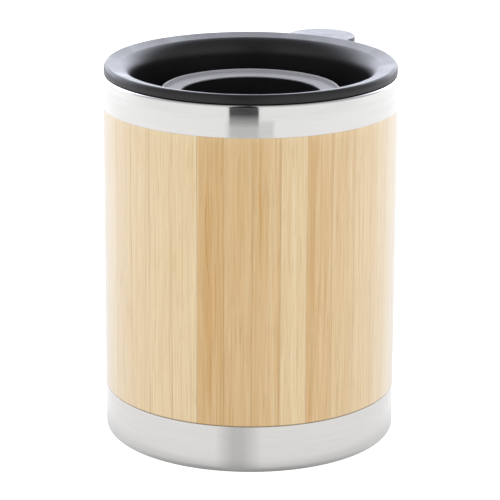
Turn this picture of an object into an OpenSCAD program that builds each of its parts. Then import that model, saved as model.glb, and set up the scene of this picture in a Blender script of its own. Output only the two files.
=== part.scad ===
// Travel mug: a steel cup inside a sleeve of bamboo staves, held between a steel mouth band
// and a steel base cup, and closed by a push-in lid with a turning dial over its drink slot.
// Millimetres, +Z up. The origin lies on the mug's axis, in the plane that the mug stands on.
// The front is at -Y. Angles round the axis are counted from the front towards +X.

/* [Outer body] */
// Radius of the bamboo sleeve and of the base cup
body_r = 42; // [40:0.5:45]
// Height of the steel base below the bamboo
base_h = 13.9; // [12:0.1:18]
// Height of bamboo that shows between the two steel bands
sleeve_h = 83.1; // [70:0.5:110]
// Height of the mouth band, from the bamboo's top edge to the lip
mouth_h = 8.6; // [8:0.1:12]

/* [Bamboo staves] */
// Number of staves glued edge to edge round the sleeve
stave_count = 34; // [30:1:40]
// Thickness of a stave from the outside to its hollow side
stave_t = 4; // [3.4:0.1:4]
// Width of the glue line between two staves
glue_line = 0.04; // [0.02:0.01:0.08]
// Angle of the first glue joint from the front
first_joint_angle = 22; // [0:0.5:45]
// Height of the thinned end of a stave that slips behind each steel band
tenon_h = 4; // [3:0.25:4.5]
// Gap between a thinned end and the steel over it
tenon_gap = 0.05; // [0.02:0.01:0.1]

/* [Mouth band] */
// Sheet thickness of the mouth band
band_wall = 0.8; // [0.6:0.05:1]
// How far the band's lower edge stands proud of the bamboo
band_proud = 0.5; // [0.3:0.05:0.6]
// How far the band's widest place stands proud of the bamboo
crown_proud = 0.75; // [0.6:0.05:1.2]
// Height of the band's widest place above its lower edge
crown_h = 4.8; // [3.5:0.1:6]
// How far the band narrows from its widest place to its lip
lip_draft = 0.15; // [0:0.05:0.2]
// Radius of the rolled lip
lip_r = 1.3; // [1:0.05:1.6]
// Space between the stave ends and the band's inner collar
collar_gap = 0.6; // [0.3:0.1:0.8]

/* [Steel cup] */
// Sheet thickness of the inner cup
cup_wall = 0.6; // [0.5:0.05:0.8]
// Gap between the staves and the cup's mouth
cup_gap = 0.4; // [0.2:0.1:0.8]
// How much narrower the cup is below its mouth, counted on the radius
cup_step = 2; // [1.4:0.1:3.5]
// Height of the slope from the mouth down to the narrower cup
cup_slope_h = 4; // [3:0.5:8]
// Radius of the cup's bottom corner
cup_corner_r = 8; // [5:0.5:12]
// Width of the flange at the cup's lip
cup_flange_w = 2; // [1.5:0.1:2.5]
// Radius of the cup's lip where it turns into the mouth
cup_lip_r = 0.9; // [0.7:0.05:1.2]
// Gap between the cup's mouth and the band's collar
collar_fit = 0.05; // [0.02:0.01:0.1]

/* [Base cup] */
// Sheet thickness of the base cup
base_wall = 0.8; // [0.6:0.05:1]
// Radius of the base cup's lower edge
base_edge_r = 1.8; // [1.3:0.1:3]
// Width of the ring that the mug stands on
foot_w = 5; // [3:0.5:8]
// Width of the slope from the foot ring up to the raised middle
foot_slope_w = 1.5; // [1:0.1:3]
// How far the middle of the base is pressed up
base_recess = 1.2; // [0.6:0.1:2]
// Height of the spacer between the base and the steel cup
spacer_h = 6.4; // [5:0.2:9]
// Width of the spacer ring
spacer_w = 7; // [4:0.5:12]

/* [Lid] */
// Gap between the mug's lip and the lid's flange
lid_seat = 0.1; // [0.05:0.01:0.2]
// How far the lid's flange reaches past the cup's mouth
flange_reach = 4.8; // [4:0.1:5.2]
// Height of the lid's flange
flange_h = 3.1; // [2.4:0.1:4.5]
// Radius of the flange's lower edge
flange_edge_r = 0.6; // [0.4:0.05:0.8]
// How far the flange's side leans in, from its widest place up to the rim's ridge
flange_lean = 1; // [0.6:0.05:1.4]
// Width of the lid's rim, from its ridge to the funnel
rim_w = 3.8; // [3:0.1:4.2]
// How far the rim falls towards the inside
rim_drop = 0.85; // [0.4:0.05:1]
// Wall between the lid's recess and the outside of its plug
plug_wall = 2.4; // [2:0.1:2.8]
// How far below the top the recess becomes straight
funnel_h = 5.6; // [4:0.1:8]
// Angle that the funnel's rounding has already turned by where it meets the rim
funnel_turn = 20; // [0:1:30]
// Depth of the recess below the top
recess_depth = 18.8; // [17.5:0.1:22]
// Thickness of the lid's floor
lid_floor_t = 2; // [1.6:0.1:2.6]
// Radius where the recess wall meets the floor
lid_fillet_r = 0.8; // [0.4:0.1:1]
// Gap between the lid's plug and the cup's mouth
plug_gap = 0.6; // [0.4:0.05:0.8]
// Bevel on the plug's lower edge
plug_bevel = 0.8; // [0.4:0.1:1.2]
// Space below the plug before the cup narrows
plug_clear = 1; // [0.5:0.25:3]

/* [Lid tab] */
// Angle of the lifting tab from straight behind, towards +X
tab_angle = 30; // [0:1:45]
// Radius of the tab's round outline, whose centre lies on the flange's edge
tab_r = 10; // [8:0.5:12]
// Thickness of the tab
tab_t = 1.7; // [1:0.1:2]
// Radius of the tab's edges
tab_edge_r = 0.35; // [0.2:0.05:0.4]

/* [Lid seal] */
// Height of the groove that holds the seal
groove_h = 5; // [4:0.1:6]
// Depth of the groove in the plug
groove_d = 1; // [0.6:0.05:1.2]
// Height of the plug's wall above the groove
groove_drop = 6; // [4:0.5:7]
// Gap between the seal and its groove
seal_fit = 0.05; // [0.02:0.01:0.1]
// Gap between the seal's fins and the cup's mouth
seal_gap = 0.05; // [0.02:0.01:0.1]
// Number of fins on the seal
fin_count = 3; // [2:1:4]

/* [Drink slot] */
// Space between the slot and each side of the channel round the dial
slot_margin = 1.25; // [1:0.05:1.8]
// Angle that the slot takes up round the axis, without its round ends
slot_angle = 16; // [10:1:20]
// Radius of the air hole
vent_r = 1; // [0.7:0.1:1.5]

/* [Dial] */
// Width of the channel between the dial and the recess wall
channel_w = 8.5; // [7:0.1:9.5]
// Width of the ring on the dial, from its edge to the finger well
ring_w = 5.2; // [4.6:0.1:6.6]
// How far the ring's face lies below the lid's top
ring_drop = 8.9; // [7.5:0.1:10]
// Thickness of the ring
ring_t = 0.8; // [0.6:0.05:1.2]
// Thickness of the ring at its bevelled inner edge
ring_edge_t = 0.25; // [0.15:0.05:0.4]
// Height of the raised lip round the ring
ring_lip_h = 1.1; // [0.6:0.1:1.6]
// Width of the raised lip
ring_lip_w = 0.6; // [0.4:0.1:1]
// Gap between the dial and the lid's floor
dial_gap = 0.3; // [0.2:0.05:0.5]
// Wall thickness of the dial
dial_wall = 1.6; // [1.2:0.1:2]
// Width of the grip bar across the finger well
bar_w = 3.2; // [2.6:0.1:4]
// Height of the grip bar above the well's floor
bar_h = 2.8; // [2:0.1:3.2]
// How far the dial turns from shut to open
open_angle = 75; // [60:5:90]

/* [Gate] */
// Thickness of the gate that covers the drink slot
gate_t = 2.6; // [2.2:0.1:3.2]
// Gap between the gate's end and the recess wall
gate_gap = 0.5; // [0.4:0.05:0.6]
// How far the sealing pad reaches past the slot on every side
pad_margin = 0.35; // [0.2:0.05:0.4]
// How far the gate reaches past the pad at both sides
gate_margin = 1.2; // [0.8:0.1:2]
// Depth of the pad's seat in the gate
pad_seat = 0.9; // [0.6:0.05:1.2]
// Gap between the pad and the lid's floor
pad_gap = 0.05; // [0.02:0.01:0.1]
// Radius of the two stop posts on the lid's floor
stop_r = 1; // [0.8:0.1:1.3]
// Height of the stop posts
stop_h = 2.2; // [1.5:0.1:2.5]
// Gap between the gate and a stop post at the end of its travel
stop_gap = 0.3; // [0.2:0.05:0.5]

/* [Spindle] */
// Radius of the spindle under the dial
spindle_r = 4.5; // [4:0.1:5]
// Gap between the spindle and its bore
spindle_fit = 0.05; // [0.02:0.01:0.1]
// Wall of the boss round the bore
boss_wall = 2.5; // [2:0.1:3.5]
// Height of the boss below the lid's floor
boss_h = 3; // [2.4:0.1:4]
// Thickness of the sealing ring's section
oring_d = 1.2; // [1:0.05:1.4]
// Gap between the sealing ring and the bore
oring_gap = 0.03; // [0.02:0.01:0.05]
// Space in the spindle's groove beyond the sealing ring's section
oring_room = 0.2; // [0.1:0.05:0.4]
// Depth of the spindle's neck, which the clip grips
neck_d = 1; // [0.8:0.1:1.3]
// Width of the clip's ring outside the neck
clip_w = 3.4; // [2.6:0.1:4]
// Thickness of the clip
clip_t = 1.6; // [1.2:0.1:2]
// Gap between the clip and the boss
clip_gap = 0.2; // [0.1:0.05:0.3]
// Height of the spindle's end below the clip
spindle_end_h = 1.2; // [0.8:0.1:2]
// Bevel on the spindle's end
spindle_bevel = 0.5; // [0.3:0.1:0.6]

/* [Hidden] */
$fn = 96;
over = 0.5;
arc_steps = 10;
fillet_steps = 6;

sleeve_z0 = base_h;
sleeve_z1 = sleeve_z0 + sleeve_h;
lip_z = sleeve_z1 + mouth_h;
flange_z = lip_z + lid_seat;
top_z = flange_z + flange_h;
floor_z = top_z - recess_depth;
plug_z = floor_z - lid_floor_t;
boss_z = plug_z - boss_h;

stave_pitch = 360 / stave_count;
glue_angle = glue_line / body_r * 180 / PI;
stave_in_r = body_r - stave_t;
upper_tenon_r = body_r + band_proud - band_wall - tenon_gap;
lower_tenon_r = body_r - base_wall - tenon_gap;

band_edge_r = body_r + band_proud;
crown_r = body_r + crown_proud;
crown_z = sleeve_z1 + crown_h;
lip_flat_r = crown_r - lip_draft - lip_r;
cup_mouth_r = stave_in_r - cup_gap - cup_wall;
cup_r = cup_mouth_r - cup_step;
flange_end_r = cup_mouth_r + cup_flange_w;
collar_in_r = cup_mouth_r + cup_wall + collar_fit;
collar_z = sleeve_z1 + tenon_h + collar_gap;
shelf_z = lip_z - cup_wall;

base_floor_z = base_recess + base_wall;
foot_out_r = body_r - base_edge_r;
foot_in_r = foot_out_r - foot_w;
base_middle_r = foot_in_r - foot_slope_w;
cup_under_z = base_floor_z + spacer_h;
cup_floor_z = cup_under_z + cup_wall;
cup_flat_r = cup_r - cup_corner_r;
mouth_end_z = plug_z - plug_clear;
slope_end_z = mouth_end_z - cup_slope_h;

plug_r = cup_mouth_r - plug_gap;
recess_r = plug_r - plug_wall;
groove_z1 = flange_z - groove_drop;
groove_z0 = groove_z1 - groove_h;
groove_r = plug_r - groove_d;
flange_r = cup_mouth_r + flange_reach;
ridge_r = flange_r - flange_lean;
rim_in_r = ridge_r - rim_w;
// The tab stands at the back and the drink slot is opposite to it.
tab_turn = 90 - tab_angle;
slot_turn = tab_turn + 180;

seal_in_r = groove_r + seal_fit;
seal_out_r = cup_mouth_r - seal_gap;
seal_body_r = (plug_r + seal_out_r) / 2 - seal_gap;
seal_z0 = groove_z0 + seal_fit;
seal_z1 = groove_z1 - seal_fit;
fin_pitch = (seal_z1 - seal_z0) / fin_count;

dial_z0 = floor_z + dial_gap;
well_z = dial_z0 + dial_wall;
ring_z1 = top_z - ring_drop;
ring_z0 = ring_z1 - ring_t;
ring_bevel = ring_t - ring_edge_t;
dial_r = recess_r - channel_w;
well_r = dial_r - ring_w;
slot_w = channel_w - 2 * slot_margin;
slot_mid_r = (dial_r + recess_r) / 2;
slot_in_r = slot_mid_r - slot_w / 2;
slot_out_r = slot_mid_r + slot_w / 2;
gate_out_r = recess_r - gate_gap;
pad_in_r = slot_in_r - pad_margin;
pad_out_r = slot_out_r + pad_margin;
// Half angles round the axis: of the slot with its round ends, the pad, the gate and a stop post
slot_half = slot_angle / 2 + arc_angle(slot_w / 2, slot_mid_r);
pad_half = slot_half + arc_angle(pad_margin, slot_mid_r);
gate_half = pad_half + arc_angle(gate_margin, slot_mid_r);
stop_half = gate_half + arc_angle(stop_r + stop_gap, slot_mid_r);

bore_r = spindle_r + spindle_fit;
boss_r = bore_r + boss_wall;
neck_r = spindle_r - neck_d;
clip_z1 = boss_z - clip_gap;
clip_z0 = clip_z1 - clip_t;
spindle_z = clip_z0 - spindle_end_h;
oring_groove_r = bore_r - oring_gap - oring_d;
oring_z = (floor_z + boss_z) / 2;

STAVES = [for (i = [1:stave_count]) stave_name(i)];

// The angle, in degrees, that a length takes up on a circle of the given radius
function arc_angle(length, radius) = length / radius * 180 / PI;

// Points along an arc of a circle, from one angle to another
function arc_points(centre, radius, from, to, steps) =
    [for (i = [0:steps]) let (a = from + (to - from) * i / steps)
        centre + radius * [cos(a), sin(a)]];

function stave_name(i) = str("bamboo_stave_", i < 10 ? "0" : "", i);

// The lighter and darker strips follow each other in a pattern that only closes round the mug.
function stave_shade(i) = 0.5 + 0.5 * sin(i * 150);

// A ring with a square section, from one height to another
module ring(in_r, out_r, z0, z1) {
    translate([0, 0, z0])
    difference() {
        cylinder(r = out_r, h = z1 - z0);
        translate([0, 0, -over]) cylinder(r = in_r, h = z1 - z0 + 2 * over);
    }
}

// A part of such a ring, centred on an angle
module ring_part(in_r, out_r, z0, z1, middle, half) {
    rotate([0, 0, middle - half])
    rotate_extrude(angle = 2 * half)
    translate([in_r, z0])
    square([out_r - in_r, z1 - z0]);
}

// The inner cup, drawn from one sheet, with a flange that lies on the mouth band
module inner_cup() {
    color("silver")
    rotate_extrude()
    polygon(concat(
        [[0, cup_under_z]],
        arc_points([cup_flat_r, cup_floor_z + cup_corner_r], cup_corner_r + cup_wall, -90, 0, arc_steps),
        [
            [cup_r + cup_wall, slope_end_z],
            [cup_mouth_r + cup_wall, mouth_end_z],
            [cup_mouth_r + cup_wall, shelf_z],
            [flange_end_r, shelf_z],
            [flange_end_r, lip_z]
        ],
        arc_points([cup_mouth_r + cup_lip_r, lip_z - cup_lip_r], cup_lip_r, 90, 180, fillet_steps),
        [
            [cup_mouth_r, mouth_end_z],
            [cup_r, slope_end_z]
        ],
        arc_points([cup_flat_r, cup_floor_z + cup_corner_r], cup_corner_r, 0, -90, arc_steps),
        [[0, cup_floor_z]]
    ));
}

// The mouth band: a ring with a faint crown and a rolled lip, whose outer wall hides the stave ends
module mouth_band() {
    color("gainsboro")
    rotate_extrude()
    polygon(concat(
        [
            [band_edge_r - band_wall, sleeve_z1],
            [band_edge_r, sleeve_z1],
            [crown_r, crown_z]
        ],
        arc_points([lip_flat_r, lip_z - lip_r], lip_r, 0, 90, arc_steps),
        [
            [flange_end_r + collar_fit, lip_z],
            [flange_end_r + collar_fit, shelf_z],
            [collar_in_r, shelf_z],
            [collar_in_r, collar_z],
            [collar_in_r + band_wall, collar_z],
            [collar_in_r + band_wall, shelf_z - band_wall],
            [lip_flat_r, shelf_z - band_wall],
            [crown_r - band_wall, crown_z]
        ]
    ));
}

// One stave: a strip of the sleeve's ring, thinned at both ends
module bamboo_stave(i) {
    shade = stave_shade(i);
    color([0.84 + 0.07 * shade, 0.7 + 0.1 * shade, 0.5 + 0.14 * shade])
    rotate([0, 0, first_joint_angle - 90 + (i - 1) * stave_pitch + glue_angle / 2])
    rotate_extrude(angle = stave_pitch - glue_angle)
    polygon([
        [stave_in_r, sleeve_z0 - tenon_h],
        [lower_tenon_r, sleeve_z0 - tenon_h],
        [lower_tenon_r, sleeve_z0],
        [body_r, sleeve_z0],
        [body_r, sleeve_z1],
        [upper_tenon_r, sleeve_z1],
        [upper_tenon_r, sleeve_z1 + tenon_h],
        [stave_in_r, sleeve_z1 + tenon_h]
    ]);
}

// The base cup, which the sleeve and the spacer stand in
module base_cup() {
    edge_centre = [foot_out_r, base_edge_r];
    color("gainsboro")
    rotate_extrude()
    polygon(concat(
        [[0, base_recess], [base_middle_r, base_recess], [foot_in_r, 0]],
        arc_points(edge_centre, base_edge_r, -90, 0, arc_steps),
        [[body_r, sleeve_z0], [body_r - base_wall, sleeve_z0]],
        arc_points(edge_centre, base_edge_r - base_wall, 0, -90, arc_steps),
        [
            [foot_in_r, base_wall],
            [base_middle_r, base_floor_z],
            [0, base_floor_z]
        ]
    ));
}

// The moulded ring that carries the steel cup's bottom
module cup_spacer() {
    color("dimgray")
    ring(cup_flat_r - spacer_w, cup_flat_r, base_floor_z, cup_under_z);
}

// The lid without its openings: flange, funnel, plug and floor as one turned shape
module lid_shell() {
    rotate_extrude()
    polygon(concat(
        [
            [0, boss_z],
            [boss_r, boss_z],
            [boss_r, plug_z],
            [plug_r - plug_bevel, plug_z],
            [plug_r, plug_z + plug_bevel],
            [plug_r, groove_z0],
            [groove_r, groove_z0],
            [groove_r, groove_z1],
            [plug_r, groove_z1],
            [plug_r, flange_z]
        ],
        arc_points([flange_r - flange_edge_r, flange_z + flange_edge_r], flange_edge_r, -90, 0, fillet_steps),
        side_points(),
        funnel_points(),
        arc_points([recess_r - lid_fillet_r, floor_z + lid_fillet_r], lid_fillet_r, 0, -90, fillet_steps),
        [[0, floor_z]]
    ));
}

// The flange's side above its lower edge, up to the ridge: a quarter of an ellipse
function side_points() =
    let (start_z = flange_z + flange_edge_r)
    [for (i = [1:arc_steps]) let (a = 90 * i / arc_steps)
        [ridge_r + flange_lean * cos(a), start_z + (top_z - start_z) * sin(a)]];

// The round shoulder from the rim down to the straight recess wall: a part of an ellipse
function funnel_points() =
    let (
        end_z = top_z - funnel_h,
        across = (rim_in_r - recess_r) / (1 - sin(funnel_turn)),
        up = (top_z - rim_drop - end_z) / cos(funnel_turn)
    )
    [for (i = [0:arc_steps]) let (a = funnel_turn + (90 - funnel_turn) * i / arc_steps)
        [recess_r + across * (1 - sin(a)), end_z + up * cos(a)]];

// The round tab that the lid is lifted by, flush with the rim
module lid_tab() {
    bottom = top_z - tab_t;
    difference() {
        rotate([0, 0, tab_turn])
        translate([flange_r, 0, 0])
        rotate_extrude()
        polygon(concat(
            [[0, bottom]],
            arc_points([tab_r - tab_edge_r, bottom + tab_edge_r], tab_edge_r, -90, 0, fillet_steps),
            arc_points([tab_r - tab_edge_r, top_z - tab_edge_r], tab_edge_r, 0, 90, fillet_steps),
            [[0, top_z]]
        ));
        translate([0, 0, bottom - over]) cylinder(r = ridge_r, h = tab_t + 2 * over);
    }
}

// The outline of the drink slot: two arcs round the mug's axis, joined by half circles
function slot_points() =
    let (
        half = slot_angle / 2,
        end_r = slot_w / 2,
        inset = slot_angle / arc_steps
    )
    concat(
        arc_points([0, 0], slot_out_r, inset - half, half - inset, arc_steps),
        arc_points(slot_mid_r * [cos(half), sin(half)], end_r, half, half + 180, arc_steps),
        arc_points([0, 0], slot_in_r, half - inset, inset - half, arc_steps),
        arc_points(slot_mid_r * [cos(half), -sin(half)], end_r, 180 - half, 360 - half, arc_steps)
    );

// The drink slot through the lid's floor
module drink_slot() {
    translate([0, 0, plug_z - over])
    rotate([0, 0, slot_turn])
    linear_extrude(lid_floor_t + 2 * over)
    polygon(slot_points());
}

// A post that ends the gate's travel
module stop_post(turn) {
    rotate([0, 0, turn])
    translate([slot_mid_r, 0, floor_z - over])
    cylinder(r = stop_r, h = stop_h + over);
}

// The lid's body, with its tab, drink slot, air hole and spindle bore
module lid_body() {
    color([0.16, 0.16, 0.17])
    difference() {
        union() {
            lid_shell();
            lid_tab();
            stop_post(slot_turn - stop_half);
            stop_post(slot_turn + open_angle + stop_half);
        }
        drink_slot();
        translate([0, 0, boss_z - over]) cylinder(r = bore_r, h = floor_z - boss_z + 2 * over);
        rotate([0, 0, tab_turn])
        translate([slot_mid_r, 0, plug_z - over])
        cylinder(r = vent_r, h = lid_floor_t + 2 * over);
    }
}

// The finned ring that seals the lid in the cup's mouth
module lid_seal() {
    color([0.72, 0.72, 0.74])
    rotate_extrude()
    polygon(concat(
        [[seal_in_r, seal_z1], [seal_in_r, seal_z0]],
        [for (i = [0:fin_count - 1]) each [
            [seal_body_r, seal_z0 + i * fin_pitch],
            [seal_out_r, seal_z0 + (i + 1 / 2) * fin_pitch]
        ]],
        [[seal_body_r, seal_z1]]
    ));
}

// The turned part of the dial: a finger well with a double wall
module dial_shell() {
    rotate_extrude()
    polygon([
        [0, dial_z0],
        [well_r + dial_wall, dial_z0],
        [well_r + dial_wall, ring_z0 - dial_wall],
        [dial_r - dial_wall, ring_z0 - dial_wall],
        [dial_r - dial_wall, dial_z0],
        [dial_r, dial_z0],
        [dial_r, ring_z0],
        [well_r + ring_bevel, ring_z0],
        [well_r, ring_z0 + ring_bevel],
        [well_r, well_z],
        [0, well_z]
    ]);
}

// The spindle, with the grooves for its sealing ring and its clip
module dial_spindle() {
    groove_half = (oring_d + oring_room) / 2;
    rotate_extrude()
    polygon([
        [0, spindle_z],
        [spindle_r - spindle_bevel, spindle_z],
        [spindle_r, spindle_z + spindle_bevel],
        [spindle_r, clip_z0],
        [neck_r, clip_z0],
        [neck_r, clip_z1],
        [spindle_r, clip_z1],
        [spindle_r, oring_z - groove_half],
        [oring_groove_r, oring_z - groove_half],
        [oring_groove_r, oring_z + groove_half],
        [spindle_r, oring_z + groove_half],
        [spindle_r, dial_z0 + dial_wall / 2],
        [0, dial_z0 + dial_wall / 2]
    ]);
}

// The gate that reaches from the dial over the drink slot, with a seat for its pad
module dial_gate() {
    difference() {
        ring_part(dial_r - dial_wall / 2, gate_out_r, dial_z0, dial_z0 + gate_t, slot_turn, gate_half);
        ring_part(pad_in_r, pad_out_r, dial_z0 - over, dial_z0 + pad_seat, slot_turn, pad_half);
    }
}

// The dial, which the fingers turn by the bar across its well
module dial() {
    color([0.13, 0.13, 0.14])
    union() {
        dial_shell();
        dial_spindle();
        dial_gate();
        intersection() {
            translate([0, 0, well_z - dial_wall / 2])
            cylinder(r = well_r + dial_wall / 2, h = bar_h + dial_wall / 2);
            rotate([0, 0, slot_turn])
            translate([-dial_r, -bar_w / 2, dial_z0])
            cube([2 * dial_r, bar_w, dial_wall + bar_h]);
        }
    }
}

// The pale ring on the dial, with a raised lip round its edge
module dial_ring() {
    color([0.74, 0.74, 0.76])
    rotate_extrude()
    polygon([
        [well_r + ring_bevel, ring_z0],
        [dial_r, ring_z0],
        [dial_r, ring_z1 + ring_lip_h],
        [dial_r - ring_lip_w, ring_z1 + ring_lip_h],
        [dial_r - ring_lip_w, ring_z1],
        [well_r, ring_z1],
        [well_r, ring_z1 - ring_edge_t]
    ]);
}

// The soft pad that shuts the drink slot
module gate_pad() {
    color([0.72, 0.72, 0.74])
    ring_part(pad_in_r, pad_out_r, floor_z + pad_gap, dial_z0 + pad_seat, slot_turn, pad_half);
}

// The ring that seals the spindle in its bore
module spindle_seal() {
    color([0.72, 0.72, 0.74])
    rotate_extrude()
    translate([oring_groove_r + oring_d / 2, oring_z])
    circle(d = oring_d);
}

// The open clip that holds the spindle in the lid
module dial_clip() {
    mouth_w = 2 * neck_r - neck_d;
    color([0.85, 0.85, 0.86])
    difference() {
        ring(neck_r, neck_r + clip_w, clip_z0, clip_z1);
        rotate([0, 0, slot_turn])
        translate([0, -mouth_w / 2, clip_z0 - over])
        cube([neck_r + clip_w + over, mouth_w, clip_t + 2 * over]);
    }
}

inner_cup();
mouth_band();
base_cup();
cup_spacer();
for (i = [1:stave_count])
    bamboo_stave(i);
lid_body();
lid_seal();
dial();
dial_ring();
gate_pad();
spindle_seal();
dial_clip();
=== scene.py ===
import enum
import logging
import math
from dataclasses import dataclass
from functools import reduce
from typing import Sequence

import bpy
import numpy as np
import numpy.typing as npt
from mathutils import Matrix


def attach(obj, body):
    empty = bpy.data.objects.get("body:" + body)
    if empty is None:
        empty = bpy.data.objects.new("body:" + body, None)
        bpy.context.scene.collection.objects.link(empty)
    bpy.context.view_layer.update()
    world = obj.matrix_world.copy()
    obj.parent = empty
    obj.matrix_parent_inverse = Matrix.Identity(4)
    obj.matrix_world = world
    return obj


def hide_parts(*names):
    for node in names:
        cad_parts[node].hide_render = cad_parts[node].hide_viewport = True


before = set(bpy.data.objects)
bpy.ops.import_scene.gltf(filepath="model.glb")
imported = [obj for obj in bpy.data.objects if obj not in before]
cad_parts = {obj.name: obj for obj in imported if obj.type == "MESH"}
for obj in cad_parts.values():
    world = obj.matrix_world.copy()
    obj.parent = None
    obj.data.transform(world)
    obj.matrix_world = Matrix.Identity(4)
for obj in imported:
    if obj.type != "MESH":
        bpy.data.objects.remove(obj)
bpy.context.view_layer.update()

Floats = npt.NDArray[np.float64]
Ints = npt.NDArray[np.int64]
Socket = bpy.types.NodeSocket
Input = Socket | float | Sequence[float]
Colour = tuple[float, float, float, float]

MM = 0.001
FULL_TURN = 2 * math.pi
ROUND_COLUMNS = 192
SEAM = math.pi / 2
SURFACE = "Surface"
UV_PER_MM = 0.01
SHARP = math.radians(32)
TINY = 1e-6
NOISE_LOW = 0.3
NOISE_HIGH = 0.7

# Sizes in millimetres, and one angle in degrees, that several sub-assemblies share
SLEEVE_R = 42.0
SLEEVE_LOW = 13.9
SLEEVE_TOP = 97.0
MOUTH_R = 37.0
GATE_TURN = 240.0

log = logging.getLogger("travel_mug")


class Body(enum.Enum):
    """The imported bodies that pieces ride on."""

    MUG = "mug"
    LID = "lid"
    DIAL = "dial"


class Slot(enum.Enum):
    """The record's material slots."""

    CUP = "cup_steel"
    BAND = "band_steel"
    BAMBOO = "bamboo"
    SPACER = "spacer_plastic"
    LID = "lid_plastic"
    RING = "ring_plastic"
    SEAL = "seal_silicone"
    CLIP = "clip_plastic"


class Mark(enum.Enum):
    """The numbers that a stave's mesh carries at each point for the bamboo's finish."""

    TONE = "strip_tone"
    SEED = "strip_seed"
    EDGE = "strip_edge"
    END = "strip_end"
    STREAK = "streak"
    KNOT = "knot"


class Join(enum.Enum):
    """How a tool is combined with a piece."""

    CUT = "DIFFERENCE"
    ADD = "UNION"


# Outlines


def bow(
    centre: Sequence[float] | Floats, across: float, up: float, start: float, end: float, steps: int = 12
) -> Floats:
    """Points of an ellipse's arc, at even angles.

    A point is the centre plus (across times the angle's cosine, up times its sine).

    Args:
        centre: Radius from the axis and height of the ellipse's centre.
        across: Half of the ellipse's width.
        up: Half of its height.
        start: First angle in degrees.
        end: Last angle in degrees.
        steps: Number of parts between them.

    Returns:
        The points, one row each.
    """
    turn = np.radians(np.linspace(start, end, steps + 1))
    return np.asarray(centre, float) + np.column_stack([across * np.cos(turn), up * np.sin(turn)])


def arc(centre: Sequence[float] | Floats, radius: float, start: float, end: float, steps: int = 12) -> Floats:
    """Points of a circle's arc, as an ellipse with equal halves."""
    return bow(centre, radius, radius, start, end, steps)


def rounded(table: Floats, steps: int) -> Floats:
    """Replaces corners of a closed outline by arcs.

    An arc's centre lies on the corner's bisector at the rounding over the sine of the half angle.
    Its points turn evenly from one tangent point to the other: the two end spokes are weighted by
    the sines of the angle still to go and the angle done, over the sine of the whole.

    Args:
        table: One row per corner: radius, height, rounding.
        steps: Number of parts in each arc.

    Returns:
        The outline's points, without repeats, counter-clockwise.
    """
    corner, rounding = table[:, :2], table[:, 2:]
    before = np.roll(corner, 1, axis=0) - corner
    after = np.roll(corner, -1, axis=0) - corner
    before = before / np.linalg.norm(before, axis=1, keepdims=True)
    after = after / np.linalg.norm(after, axis=1, keepdims=True)
    half = 0.5 * np.arccos(np.clip((before * after).sum(1, keepdims=True), -1, 1))
    middle = before + after
    length = np.linalg.norm(middle, axis=1, keepdims=True)
    middle = middle / np.where(length < TINY, 1, length)
    centre = corner + middle * rounding / np.sin(half)
    reach = rounding / np.tan(half)
    first = corner + before * reach - centre
    last = corner + after * reach - centre
    sweep = (math.pi - 2 * half)[:, None]
    whole = np.where(np.abs(np.sin(sweep)) < TINY, 1, np.sin(sweep))
    share = np.linspace(0, 1, steps + 1)[None, :, None]
    spoke = np.sin((1 - share) * sweep) * first[:, None] + np.sin(share * sweep) * last[:, None]
    points = np.where(rounding[:, None] > 0, centre[:, None] + spoke / whole, corner[:, None]).reshape(-1, 2)
    points = points[np.linalg.norm(points - np.roll(points, 1, axis=0), axis=1) > TINY]
    following = np.roll(points, -1, axis=0)
    area = (points[:, 0] * following[:, 1] - following[:, 0] * points[:, 1]).sum()
    return points if area > 0 else points[::-1]


def held(points: Floats, ratio: float = 4) -> Floats:
    """Adds a point beside each small arc on the long edges next to it, so that flats shade flat.

    An edge that is longer than its neighbour by more than a ratio gets a point at the neighbour's
    length from their shared end.

    Args:
        points: A closed outline.
        ratio: The ratio.

    Returns:
        The outline with the added points.
    """
    step = np.roll(points, -1, axis=0) - points
    length = np.linalg.norm(step, axis=1, keepdims=True)
    along = step / length
    before, after = np.roll(length, 1, axis=0), np.roll(length, -1, axis=0)
    rows = np.stack([points, points + along * before, points + along * (length - after)], axis=1)
    keep = np.column_stack([np.ones(len(points), bool), length > ratio * before, length > ratio * after])
    return rows[keep]


def outline(*parts: Sequence[float] | Floats, steps: int = 6) -> Floats:
    """A closed outline from corners with roundings and runs of plain points.

    Args:
        parts: A corner (radius, height, rounding) or an array of points, in order.
        steps: Number of parts in each rounding.

    Returns:
        The outline's points, counter-clockwise.
    """
    rows = [np.atleast_2d(np.asarray(part, float)) for part in parts]
    table = np.vstack([np.pad(row, ((0, 0), (0, 3 - row.shape[1]))) for row in rows])
    return held(rounded(table, steps))


def block(inner: float, outer: float, low: float, high: float, edge: float = 0.0) -> Floats:
    """A closed outline with four corners and equal roundings."""
    return outline((inner, low, edge), (outer, low, edge), (outer, high, edge), (inner, high, edge))


def divided(points: Floats, longest: float) -> Floats:
    """Splits the long edges of a closed outline evenly.

    Args:
        points: The outline.
        longest: The most that an edge may measure.

    Returns:
        The outline with the added points.
    """
    step = np.roll(points, -1, axis=0) - points
    count = np.maximum(1, np.ceil(np.linalg.norm(step, axis=1) / longest)).astype(int)
    owner = np.repeat(np.arange(len(points)), count)
    within = np.arange(len(owner)) - np.repeat(np.cumsum(count) - count, count)
    return points[owner] + step[owner] * (within / count[owner])[:, None]


def drawn_in(points: Floats, distance: Floats) -> Floats:
    """Copies of a closed outline, each moved inwards by its own distance.

    A point moves against the outline's outward direction there, which is square to the line
    between its two neighbours.

    Args:
        points: The outline, counter-clockwise.
        distance: One distance per copy.

    Returns:
        An array of copies by points by two.
    """
    chord = np.roll(points, -1, axis=0) - np.roll(points, 1, axis=0)
    outward = np.column_stack([chord[:, 1], -chord[:, 0]])
    outward = outward / np.linalg.norm(outward, axis=1, keepdims=True)
    return points[None] - np.asarray(distance, float)[:, None, None] * outward[None]


# Surfaces


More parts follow.
